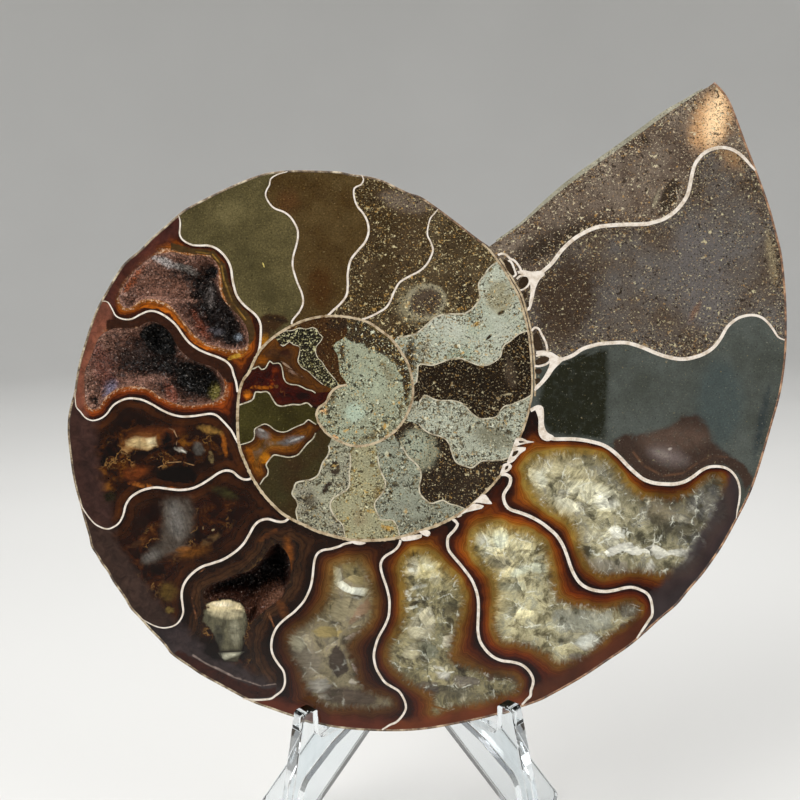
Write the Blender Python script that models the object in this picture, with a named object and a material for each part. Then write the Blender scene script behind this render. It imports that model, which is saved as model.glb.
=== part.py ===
# A cut and polished ammonite half on its clear display easel.
# Metres, +Z up. The polished cut face looks toward -Y and leans back.
import math

import bmesh
import bpy
from mathutils import Matrix, Vector

MM = 0.001
GAP = 0.3 * MM

# Spiral outline of the fossil about its first chamber: angle in degrees, radius.
# Angles run past 360 because the last whorl ends at the open aperture.
OUTLINE = (
    (45, 39.5), (60, 40.3), (90, 43.8), (120, 47.7), (150, 52.0), (180, 55.6),
    (210, 60.3), (240, 64.2), (270, 67.8), (300, 72.3), (330, 78.4), (360, 86.2),
    (390, 93.2), (405, 95.6),
)
APERTURE_ANGLE = 44.7
APERTURE_TIP_ANGLE = 40.4
APERTURE_BEND_RADIUS = 52.0 * MM
UMBILICUS = 0.26
HALF_THICKNESS = 0.22
SHOULDER = 0.15
SEAM_HEIGHT = 0.62
CENTRE_HEIGHT = 0.42
RIM = 1.0 * MM
SECTIONS = 56
RINGS = 10

# Open crystal pockets in the cut face: depth, then the outline at the face.
POCKETS = (
    ("main", 8.0, (
        (-11.9, -34.5), (-13.5, -31.5), (-16.0, -31.8), (-18.7, -34.6),
        (-22.5, -37.0), (-28.3, -39.0), (-29.3, -41.3), (-26.0, -42.0),
        (-20.3, -40.9), (-15.3, -40.0), (-12.6, -38.8),
    )),
    ("upper", 4.6, (
        (-46.1, 18.2), (-44.4, 16.8), (-40.8, 18.6), (-36.6, 17.7), (-33.3, 14.0),
        (-30.0, 10.4), (-26.0, 8.9), (-21.7, 8.6), (-20.3, 10.6), (-21.9, 14.8),
        (-25.4, 18.6), (-26.3, 24.0), (-28.3, 27.0), (-32.8, 27.4), (-37.3, 27.8),
        (-41.5, 25.7), (-44.7, 22.2),
    )),
    ("side", 5.0, (
        (-53.0, 0.0), (-52.3, 6.2), (-50.0, 11.2), (-46.9, 12.6), (-42.5, 12.8),
        (-40.0, 14.1), (-37.0, 12.9), (-34.6, 9.3), (-31.8, 6.6), (-26.9, 4.4),
        (-25.1, 1.5), (-26.5, -1.8), (-31.0, -2.7), (-36.0, -1.9), (-40.4, 0.6),
        (-45.5, 1.0), (-49.4, -1.8), (-51.5, -3.4),
    )),
)
POCKET_TAPER = 0.55

# How the fossil sits: its lean, its turn in its own plane, the face point over
# the easel's centre line and the height of that point.
LEAN = math.radians(10.0)
FACE_TURN = math.radians(-1.4)
FACE_POINT = Vector((10.0, -1.6)) * MM
FACE_HEIGHT = 120.5 * MM

# Easel: two plates that cross at right angles, one behind the other at the cut.
PLATE = 3.2 * MM
CROSSING_BACK = 6.0 * MM
LIP_TOP = 61.8 * MM
LIP_FRONT = -29.9 * MM
LIP_BACK = -26.4 * MM
SEAT = 55.4 * MM
SEAT_BACK = -18.8 * MM
FRONT_FOOT = (-44.5 * MM, -40.6 * MM)
REAR_FOOT = (41.6 * MM, 57.9 * MM)
ARCH_FRONT = (-30.4 * MM, 47.0 * MM)
ARCH_TOP_FRONT = (-22.0 * MM, 52.0 * MM)
ARCH_TOP_BACK = (-1.0 * MM, 60.0 * MM)
REST_LOW = (-0.8 * MM, 72.4 * MM)
REST_TOP = (19.6 * MM, 112.0 * MM)
REST_WIDTH = 11.0 * MM
REAR_JOIN = (8.0 * MM, 66.0 * MM)
SLOT_MIDDLE = 67.2 * MM
ARC_STEPS = 5


def clear_scene():
    for item in list(bpy.data.objects):
        bpy.data.objects.remove(item, do_unlink=True)


def make_material(name, colour, roughness, transmission=0.0, ior=1.45):
    material = bpy.data.materials.new(name)
    material.use_nodes = True
    shader = material.node_tree.nodes["Principled BSDF"]
    shader.inputs["Base Color"].default_value = (*colour, 1.0)
    shader.inputs["Roughness"].default_value = roughness
    shader.inputs["Metallic"].default_value = 0.0
    shader.inputs["Transmission Weight"].default_value = transmission
    shader.inputs["IOR"].default_value = ior
    return material


def add_object(name, bm, material):
    bmesh.ops.recalc_face_normals(bm, faces=bm.faces)
    if bm.calc_volume(signed=True) < 0:
        bmesh.ops.reverse_faces(bm, faces=bm.faces)
    mesh = bpy.data.meshes.new(name)
    bm.to_mesh(mesh)
    bm.free()
    item = bpy.data.objects.new(name, mesh)
    bpy.context.collection.objects.link(item)
    if material is not None:
        mesh.materials.append(material)
    return item


def outline_radius(degrees):
    """Radius of the outline, by a Catmull-Rom curve through its points."""
    last = len(OUTLINE) - 1
    i = 0
    while i < last - 1 and OUTLINE[i + 1][0] < degrees:
        i += 1
    a0, r0 = OUTLINE[max(i - 1, 0)]
    a1, r1 = OUTLINE[i]
    a2, r2 = OUTLINE[i + 1]
    a3, r3 = OUTLINE[min(i + 2, last)]
    span = a2 - a1
    t = (degrees - a1) / span
    slope1 = (r2 - r0) / (a2 - a0) * span
    slope2 = (r3 - r1) / (a3 - a1) * span
    value = (
        (2 * t**3 - 3 * t**2 + 1) * r1
        + (t**3 - 2 * t**2 + t) * slope1
        + (-2 * t**3 + 3 * t**2) * r2
        + (t**3 - t**2) * slope2
    )
    return value * MM


def flank_height(f):
    """Share of the half thickness at f, from the umbilical seam 0 to the venter 1."""
    if f < SHOULDER:
        return SEAM_HEIGHT + (1 - SEAM_HEIGHT) * math.sin(f / SHOULDER * math.pi / 2)
    across = (f - SHOULDER) / (1 - SHOULDER)
    return max(0.0, 1 - across**1.7) ** 0.85


def section_angle(degrees, radius):
    """The last sections turn with the aperture's cut, which bends near its tip."""
    end = APERTURE_ANGLE + 360
    near_end = max(0.0, 1 - (end - degrees) / 24.0)
    tip = outline_radius(end)
    outward = max(0.0, (radius - APERTURE_BEND_RADIUS) / (tip - APERTURE_BEND_RADIUS))
    return degrees - (APERTURE_ANGLE - APERTURE_TIP_ANGLE) * near_end * outward


def make_section(bm, degrees):
    """One cross-section of the last whorl: a line of points behind the cut face."""
    outer = outline_radius(degrees)
    inner = UMBILICUS * outer
    thick = HALF_THICKNESS * outer
    points = []
    for j in range(RINGS + 1):
        f = j / RINGS
        f = f * (1.25 - 0.25 * f) if f < 1 else 1.0
        radius = inner + (outer - inner) * f
        angle = math.radians(section_angle(degrees, radius))
        height = RIM + (thick - RIM) * flank_height(f)
        place = (radius * math.cos(angle), radius * math.sin(angle), -height)
        points.append(bm.verts.new(place))
    return points


def make_fossil(material):
    """One solid: flat cut face at height 0, domed flank, hollow umbilicus."""
    bm = bmesh.new()
    step = 360.0 / SECTIONS
    sections = [make_section(bm, APERTURE_ANGLE + i * step) for i in range(SECTIONS + 1)]
    for low, high in zip(sections, sections[1:]):
        for j in range(RINGS):
            bm.faces.new((low[j], low[j + 1], high[j + 1], high[j]))

    # The umbilicus: a shallow cone inside the coil of seams.
    centre_height = CENTRE_HEIGHT * HALF_THICKNESS * outline_radius(180)
    centre = bm.verts.new((0.0, 0.0, -centre_height))
    for low, high in zip(sections, sections[1:]):
        bm.faces.new((low[0], high[0], centre))

    # The cut face and the thin edge around it.
    rim = [section[-1] for section in sections]
    base = [bm.verts.new((v.co.x, v.co.y, 0.0)) for v in rim]
    for i in range(SECTIONS):
        bm.faces.new((rim[i], base[i], base[i + 1], rim[i + 1]))
    tip_side = []
    for v in reversed(sections[-1]):
        if v is not sections[-1][-1] and v.co.xy.length > base[0].co.xy.length:
            tip_side.append(bm.verts.new((v.co.x, v.co.y, 0.0)))
    bm.faces.new(base + tip_side)

    # The open end of the last whorl stands on the first section like a wall.
    wall = list(sections[0]) + [base[0]] + tip_side[::-1] + [base[-1]]
    bm.faces.new(wall + sections[-1][::-1] + [centre])
    bm.normal_update()
    bmesh.ops.triangulate(bm, faces=bm.faces)
    return add_object("ammonite_half", bm, material)


def cut_pocket(fossil, name, depth, outline):
    """An open pocket whose sides slope in from its outline on the cut face."""
    bm = bmesh.new()
    points = [Vector(point) * MM for point in outline]
    middle = sum(points, Vector((0.0, 0.0))) / len(points)
    rings = []
    for height in (1.0, -depth):
        scale = 1 + (1 - POCKET_TAPER) * height / depth
        places = [(middle + (p - middle) * scale).to_3d() for p in points]
        lift = Vector((0.0, 0.0, height * MM))
        rings.append([bm.verts.new(place + lift) for place in places])
    top, floor = rings
    bm.faces.new(top)
    bm.faces.new(floor[::-1])
    for i in range(len(points)):
        bm.faces.new((top[i - 1], top[i], floor[i], floor[i - 1]))
    cutter = add_object("pocket_cutter_" + name, bm, None)
    cutter.hide_render = True
    cutter.display_type = "WIRE"
    cutter.parent = fossil
    cut = fossil.modifiers.new("pocket " + name, "BOOLEAN")
    cut.operation = "DIFFERENCE"
    cut.solver = "EXACT"
    cut.object = cutter


def round_corner(before, corner, after, radius):
    """Points of the arc that replaces a corner between two straight edges."""
    to_before = (before - corner).normalized()
    to_after = (after - corner).normalized()
    half = to_before.angle(to_after) / 2
    start = corner + to_before * (radius / math.tan(half))
    middle = corner + (to_before + to_after).normalized() * (radius / math.sin(half))
    sweep = math.pi - 2 * half
    if to_before.cross(to_after) > 0:
        sweep = -sweep
    ray = start - middle
    turns = [Matrix.Rotation(sweep * i / ARC_STEPS, 2) for i in range(ARC_STEPS + 1)]
    return [middle + turn @ ray for turn in turns]


def plate_profile():
    """The plate's outline in its own plane: x along the floor, y up."""
    lean = Vector(REST_TOP) - Vector(REST_LOW)
    across = Vector((lean.y, -lean.x)).normalized() * REST_WIDTH
    rest_back_top = Vector(REST_TOP) + across
    corners = [
        (FRONT_FOOT[0], 0.0, 1.2 * MM),
        (FRONT_FOOT[1], 0.0, 0.8 * MM),
        (*ARCH_FRONT, 5.0 * MM),
        (*ARCH_TOP_FRONT, 6.0 * MM),
        (*ARCH_TOP_BACK, 7.0 * MM),
        (REAR_FOOT[0], 0.0, 1.0 * MM),
        (REAR_FOOT[1], 0.0, 2.4 * MM),
        (*REAR_JOIN, 8.0 * MM),
        (rest_back_top.x, rest_back_top.y, 4.5 * MM),
        (*REST_TOP, 4.5 * MM),
        (*REST_LOW, 20.0 * MM),
        (SEAT_BACK, SEAT, 1.6 * MM),
        (LIP_BACK, SEAT, 1.4 * MM),
        (LIP_BACK, LIP_TOP, 0.6 * MM),
        (LIP_FRONT, LIP_TOP, 0.9 * MM),
    ]
    outline = []
    for i, (x, y, radius) in enumerate(corners):
        before = Vector(corners[i - 1][:2])
        after = Vector(corners[(i + 1) % len(corners)][:2])
        outline += round_corner(before, Vector((x, y)), after, radius)
    return outline


def cut_slot(outline, from_top):
    """Half of the cross-lap: a slot as wide as the other plate and its play."""
    half = PLATE / 2 + GAP
    bottom = SLOT_MIDDLE + (-GAP / 2 if from_top else GAP / 2)
    enter, leave = (half, -half) if from_top else (-half, half)
    result = []
    in_slot = False
    for p, q in zip(outline, outline[1:] + outline[:1]):
        if not in_slot:
            result.append(p)
        for side in (enter, leave):
            if (p.x - side) * (q.x - side) < 0 and (p.y > SLOT_MIDDLE) == from_top:
                edge = p.lerp(q, (side - p.x) / (q.x - p.x))
                floor = Vector((side, bottom))
                in_slot = side == enter
                result += [edge, floor] if in_slot else [floor, edge]
    return result


def make_plate(name, turn, slot_from_top, material):
    """One clear plate: front leg, hook, back rest and rear leg in one sheet."""
    bm = bmesh.new()
    outline = cut_slot(plate_profile(), slot_from_top)
    face = bm.faces.new([bm.verts.new((p.x, -PLATE / 2, p.y)) for p in outline])
    swept = bmesh.ops.extrude_face_region(bm, geom=[face])
    moved = [v for v in swept["geom"] if isinstance(v, bmesh.types.BMVert)]
    bmesh.ops.translate(bm, verts=moved, vec=(0.0, PLATE, 0.0))
    plate = add_object(name, bm, material)
    plate.location = (0.0, CROSSING_BACK, 0.0)
    plate.rotation_euler = (0.0, 0.0, turn)
    return plate


def seat_fossil(fossil):
    """Lean the cut face back over the easel's centre line."""
    turned = Matrix.Rotation(math.pi / 2 - LEAN, 4, "X") @ Matrix.Rotation(FACE_TURN, 4, "Z")
    point = turned @ FACE_POINT.to_3d()
    place = Matrix.Translation(Vector((0.0, 0.0, FACE_HEIGHT)) - point)
    fossil.matrix_world = place @ turned


def centre_on_footprint(items):
    """Put the origin at the middle of the whole object's footprint."""
    bpy.context.view_layer.update()
    corners = []
    for item in items:
        corners += [item.matrix_world @ v.co for v in item.data.vertices]
    middle = [(min(c[k] for c in corners) + max(c[k] for c in corners)) / 2 for k in range(2)]
    for item in items:
        item.location.x -= middle[0]
        item.location.y -= middle[1]


def main():
    clear_scene()
    stone = make_material("fossil_calcite", (0.235, 0.155, 0.085), 0.12)
    acrylic = make_material("clear_acrylic", (0.93, 0.96, 0.97), 0.03, 1.0, 1.49)
    fossil = make_fossil(stone)
    for pocket in POCKETS:
        cut_pocket(fossil, *pocket)
    seat_fossil(fossil)
    quarter = math.pi / 4
    left = make_plate("easel_plate_left", quarter, False, acrylic)
    right = make_plate("easel_plate_right", 3 * quarter, True, acrylic)
    centre_on_footprint([fossil, left, right])


main()
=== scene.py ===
import math
from functools import partial
from random import Random

import bmesh
import bpy
from mathutils import Matrix, Vector, geometry, kdtree, noise


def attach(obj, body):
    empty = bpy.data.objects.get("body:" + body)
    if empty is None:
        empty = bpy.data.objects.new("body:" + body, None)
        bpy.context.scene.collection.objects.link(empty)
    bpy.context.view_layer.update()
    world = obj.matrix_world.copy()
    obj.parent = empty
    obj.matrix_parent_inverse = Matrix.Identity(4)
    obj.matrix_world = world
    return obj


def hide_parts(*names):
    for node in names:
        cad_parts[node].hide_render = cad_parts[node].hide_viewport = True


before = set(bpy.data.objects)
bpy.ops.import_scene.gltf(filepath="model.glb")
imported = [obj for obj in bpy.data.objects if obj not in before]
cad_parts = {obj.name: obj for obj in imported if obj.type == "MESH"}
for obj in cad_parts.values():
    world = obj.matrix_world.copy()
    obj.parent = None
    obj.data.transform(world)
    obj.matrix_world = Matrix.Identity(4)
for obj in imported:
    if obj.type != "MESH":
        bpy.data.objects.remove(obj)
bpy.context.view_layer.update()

mm = 0.001

# The fossil's own plane: u right and v up on the polished face, in millimetres from
# the first chamber, with height toward the viewer. This seats that plane on the easel.
seat = {
    "lean": 10.0,
    "turn": -1.4,
    "facePoint": (10.0, -1.6),
    "place": (-0.005608, -0.009979, 0.1205),
}
faceTurn = (
    Matrix.Rotation(math.radians(90 - seat["lean"]), 4, "X")
    @ Matrix.Rotation(math.radians(seat["turn"]), 4, "Z")
)
facePoint = Vector((*seat["facePoint"], 0))
faceMatrix = (
    Matrix.Translation(seat["place"]) @ faceTurn
    @ Matrix.Scale(mm, 4) @ Matrix.Translation(-facePoint)
)


# settings that many nodes share: to blend colours, to darken one by another, to multiply
rgba = {"out": 2, "data_type": "RGBA"}
darken = {**rgba, "blend_type": "MULTIPLY"}
times = {"operation": "MULTIPLY"}


def shade(code):
    # sRGB hex to the linear colour that the shaders use
    parts = [int(code[i:i + 2], 16) / 255 for i in (1, 3, 5)]
    linear = [p / 12.92 if p <= 0.04045 else ((p + 0.055) / 1.055) ** 2.4 for p in parts]
    return (*linear, 1.0)


def node(tree, kind, inputs=(), out=0, stops=None, **settings):
    # adds one node with its settings and links, and gives back one of its outputs
    new = tree.nodes.new("ShaderNode" + kind)
    for name, value in settings.items():
        setattr(new, name, value)
    if stops:
        ramp = new.color_ramp
        ramp.elements.remove(ramp.elements[1])
        for i, (place, code) in enumerate(stops):
            element = ramp.elements.new(place) if i else ramp.elements[0]
            element.position = place
            element.color = shade(code)
    for key, value in inputs.items() if isinstance(inputs, dict) else enumerate(inputs):
        if isinstance(value, bpy.types.NodeSocket):
            tree.links.new(value, new.inputs[key])
        else:
            new.inputs[key].default_value = value
    return new.outputs[out] if out is not None else new


def startMaterial(name, roughness, ior, gloss=0.5):
    # a material, its shader, face-plane millimetres to lay patterns out in, and the
    # call that adds a node to it
    material = bpy.data.materials.new(name)
    material.use_nodes = True
    add = partial(node, material.node_tree)
    shader = material.node_tree.nodes["Principled BSDF"]
    shader.inputs["Roughness"].default_value = roughness
    shader.inputs["IOR"].default_value = ior
    shader.inputs["Specular IOR Level"].default_value = gloss
    back = faceTurn.inverted()
    place = add("Mapping", {
        "Vector": add("TexCoord", out="Object"), "Rotation": back.to_euler(),
        "Location": facePoint - back @ Vector(seat["place"]) / mm, "Scale": (1 / mm,) * 3})
    return material, shader, place, add


def mottled(add, colour, pattern, low, high, start=0.3, end=0.7, share=1.0):
    # a colour times low to high, as the pattern goes from start to end
    tone = add("MapRange", (pattern, start, end, low, high))
    return add("Mix", {0: share, 6: colour, 7: tone}, **darken)


def wear(shader, colour, roughness=None, normal=None):
    # links the finished colour, and roughness and relief where they vary
    for name, socket in (("Base Color", colour), ("Roughness", roughness), ("Normal", normal)):
        if socket:
            shader.id_data.links.new(socket, shader.inputs[name])


def pairs(numbers, closed=False):
    # a flat run of numbers as points, back to the first where it closes
    points = [Vector(p) for p in zip(numbers[::2], numbers[1::2])]
    return points + points[:1] if closed else points


lineStep = 0.45  # millimetres between the points of a smooth line


def through(points, step=lineStep):
    # a smooth line through the points
    line = []
    for i in range(len(points) - 1):
        p0, p1 = points[max(i - 1, 0)], points[i]
        p2, p3 = points[i + 1], points[min(i + 2, len(points) - 1)]
        parts = max(1, round((p2 - p1).length / step))
        for k in range(parts):
            t = k / parts
            line.append(0.5 * (
                2 * p1 + (p2 - p0) * t + (2 * p0 - 5 * p1 + 4 * p2 - p3) * t * t
                + (3 * p1 - p0 - 3 * p2 + p3) * t ** 3
            ))
    return line + [points[-1]]


def smoothStep(low, high, value):
    t = min(1.0, max(0.0, (value - low) / (high - low)))
    return t * t * (3 - 2 * t)


print("camera, light and floor")
view = {
    "distance": 0.1770,
    "lens": 39.8,
    "nearest": 0.01,
    "lampsAim": (0, 0, 0.11),
    "world": "#d4d6d8", "worldStrength": 0.44,
    "floor": "#d6d5d2", "floorLight": "#dad9d6",
    "floorRadius": 1.0, "floorSweep": 0.6, "wallTop": 1.1, "sweepSteps": 12, "turns": 64,
}
camera = bpy.data.objects.new("camera", bpy.data.cameras.new("camera"))
bpy.context.collection.objects.link(camera)
camera.data.lens = view["lens"]
camera.data.clip_start = view["nearest"]
camera.matrix_world = (
    Matrix.Translation(seat["place"]) @ faceTurn
    @ Matrix.Translation((0, 0, view["distance"]))
)
scene = bpy.context.scene
scene.camera = camera
scene.view_settings.view_transform = "Standard"

world = bpy.data.worlds.new("studio")
world.use_nodes = True
background = world.node_tree.nodes["Background"]
background.inputs["Color"].default_value = shade(view["world"])
background.inputs["Strength"].default_value = view["worldStrength"]
scene.world = world

# softboxes: name, place in metres, size, watts
softboxes = (
    ("key", (-0.55, -0.55, 0.75), 0.5, 7.0),
    ("fill", (0.65, -0.45, 0.45), 0.5, 2.6),
    ("top", (0.0, 0.15, 0.95), 0.6, 6.0),
)
for name, place, size, watts in softboxes:
    light = bpy.data.lights.new(name, "AREA")
    light.shape = "SQUARE"
    light.size = size
    light.energy = watts
    lamp = bpy.data.objects.new(name, light)
    bpy.context.collection.objects.link(lamp)
    aim = (Vector(view["lampsAim"]) - Vector(place)).to_track_quat("-Z", "Y")
    lamp.matrix_world = Matrix.Translation(place) @ aim.to_matrix().to_4x4()

# a floor that sweeps up into a pale wall all round
bm = bmesh.new()
flat, bend = view["floorRadius"], view["floorSweep"]
profile = [(0.0, 0.0), (flat, 0.0)]
for k in range(1, view["sweepSteps"] + 1):
    a = math.pi / 2 * k / view["sweepSteps"]
    profile.append((flat + bend * math.sin(a), bend - bend * math.cos(a)))
profile.append((flat + bend, view["wallTop"]))
row = [bm.verts.new((x, 0, z)) for x, z in profile]
edges = [bm.edges.new(pair) for pair in zip(row, row[1:])]
bmesh.ops.spin(bm, geom=row + edges, axis=(0, 0, 1), cent=(0, 0, 0), angle=2 * math.pi,
               steps=view["turns"], use_merge=True)
bmesh.ops.remove_doubles(bm, verts=bm.verts, dist=1e-5)
bmesh.ops.recalc_face_normals(bm, faces=bm.faces)
mesh = bpy.data.meshes.new("floor")
bm.to_mesh(mesh)
bm.free()
mesh.shade_smooth()
floor = bpy.data.objects.new("floor", mesh)
bpy.context.collection.objects.link(floor)
# matt seamless paper with a very faint mottle
paper, shader, place, add = startMaterial("pale_studio_paper", 0.8, 1.45)
wear(shader, add("ValToRGB", {"Fac": add("TexNoise", {"Vector": place, "Scale": 0.004})},
                 stops=((0.3, view["floor"]), (0.7, view["floorLight"]))))
mesh.materials.append(paper)


def addPiece(bm, name, materials, replaces=(), smooth=False, placed=False):
    # one finished piece, seated in the frame
    if not placed:
        bm.transform(faceMatrix)
    mesh = bpy.data.meshes.new(name)
    bm.to_mesh(mesh)
    bm.free()
    for material in materials if isinstance(materials, tuple) else (materials,):
        mesh.materials.append(material)
    if smooth:
        mesh.shade_smooth()
    piece = bpy.data.objects.new(name, mesh)
    bpy.context.collection.objects.link(piece)
    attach(piece, "root")
    if replaces:
        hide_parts(*replaces)
    return piece


def sweep(bm, faces, way):
    # carries faces along a vector and leaves sides behind them
    swept = bmesh.ops.extrude_face_region(bm, geom=faces)
    moved = [v for v in swept["geom"] if isinstance(v, bmesh.types.BMVert)]
    bmesh.ops.translate(bm, verts=moved, vec=way)


def faceOut(bm):
    # turns the faces of a finished shape outwards
    bmesh.ops.recalc_face_normals(bm, faces=bm.faces)
    return bm


def thicken(bm, depth):
    # turns a sheet into a slab that goes down from the face
    sweep(bm, bm.faces[:], (0, 0, -depth))
    faceOut(bm)
    if bm.calc_volume(signed=True) < 0:
        bmesh.ops.reverse_faces(bm, faces=bm.faces)


print("lines on the face")
# the outline, from the inner end of the aperture over the top and round to its tip
outlinePoints = (
    27.6,29.3, 26,30.4, 24,31.9, 22,33.5, 20,35, 18,36.5, 16,37.9, 14,39.2, 12,39.8, 10,40.7, 8,41.7,
    6.5,42.4, 4,43.1, 2,43.4, -0.2,43.7, -2,44.1, -6,44.3, -11,44.4, -15,44.1, -18,43.5, -22,42,
    -26,40.2, -30,38.2, -33,36.6, -35,35, -37,33.2, -40,30.6, -42,28.5, -45,26, -47,23.2, -48.5,20.6,
    -50,18, -51,15.9, -52,13.2, -53,10, -53.8,7.5, -54.6,4, -55.2,0, -55.9,-2.5, -56.4,-5, -56.5,-8,
    -56.3,-10.5, -56,-13, -55.6,-16, -55,-19, -54.3,-21.5, -53.5,-24.5, -52.8,-27, -52.2,-29, -51.8,-31,
    -50.6,-32.8, -49.8,-34.3, -48.5,-36, -47.5,-37.9, -46,-40, -44.8,-41.8, -44,-43.3, -42,-45.4,
    -40,-47.7, -38,-49.7, -36.7,-51.2, -36,-52.3, -34,-53.8, -32,-55.1, -30,-56.5, -26,-58.7, -20,-61.9,
    -16,-63.4, -12,-64.8, -8,-66, -4,-67, 0,-67.5, 4,-67.8, 8,-67.9, 12,-67.8, 16,-67.4, 20,-66.7,
    24,-65.9, 28,-65, 34,-63.2, 38,-61.8, 40,-60.8, 44,-58.6, 48,-56.2, 52,-53.5, 56,-50.8, 59.6,-47.7,
    62.1,-45.4, 65.4,-42.6, 67.8,-39.7, 70.5,-36.6, 72.4,-34, 74.6,-30.7, 77.3,-25.8, 80.2,-20,
    82.2,-14.2, 84.3,-7, 86.2,0, 87.2,7, 87.4,13.5, 87.2,20, 86.5,27, 85.6,31, 83.8,37.6, 81,45.3,
    79.1,50.2, 77.1,55.6, 75.9,58.4, 74.4,60.6, 73,61.9,
)
aperturePoints = (
    73,61.9, 71.1,61.1, 69.1,60, 67,58.6, 62.9,56.1, 58.8,53.1, 54.7,50.1, 50.6,47.2, 46.5,44.3,
    42.4,41.2, 38.3,37.7, 34.2,34, 30,31, 27.6,29.3,
)
# the wall of the coiled tube, from the first chamber out to where the outline covers it
wallPoints = (
    -0.6,1.4, -1.9,1.2, -3.1,0.6, -4,-0.4, -4.8,-2.1, -6.2,-3.1, -6.7,-4.4, -6.4,-5.8, -5.8,-6.8,
    -5,-7.9, -3.4,-9.2, -1.5,-10.1, 0.3,-10.7, 2.1,-10.8, 4,-10.5, 5.8,-9.9, 7.7,-8.8, 9.4,-7.4,
    10.9,-5.4, 11.9,-3.3, 12.5,-1.3, 12.6,0.5, 12.4,2.7, 11.9,4.8, 11.1,6.6, 10,8.3, 8.8,10, 7.5,11.3,
    6.1,12.3, 4.3,13.6, 2.3,14.4, -0.5,15, -3.1,15.2, -5.7,15.1, -8.2,14.6, -10.5,13.8, -12.7,12.7,
    -15,11.2, -16.9,9.6, -18.3,7.9, -19.3,6, -20.3,3.8, -21.2,2.7, -21.9,1, -22.3,-1, -22.5,-4,
    -22.5,-7, -22.3,-10, -21.8,-12.1, -20.8,-14.5, -19.8,-16.7, -18.4,-19, -16.9,-21, -15.3,-22.7,
    -13.8,-24.1, -12.3,-25.1, -10.8,-25.9, -8.8,-26.8, -7,-27.7, -5.2,-28.3, -3.4,-28.8, -1.3,-29.3,
    0.3,-29.6, 3,-29.7, 6.4,-29.6, 8.8,-29.3, 10.5,-28.9, 12.6,-28.3, 14.6,-27.6, 16.6,-27, 18.5,-26.2,
    20.5,-25.2, 22.9,-23.7, 25.05,-21.95, 27,-20.1, 28.8,-18.25, 30.3,-16.3, 31.7,-14.1, 32.9,-11.7,
    33.9,-9.3, 34.8,-7, 35.5,-4.8, 36,-2.6, 36.4,-0.4, 36.45,2.5, 36.3,5.9, 36,9.4, 35.6,12.4,
    34.7,16.1, 33.7,19.3, 32.3,21.8, 30.8,24.4, 29.5,26.3, 27.9,28.4, 26.4,29.7,
)
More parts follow.
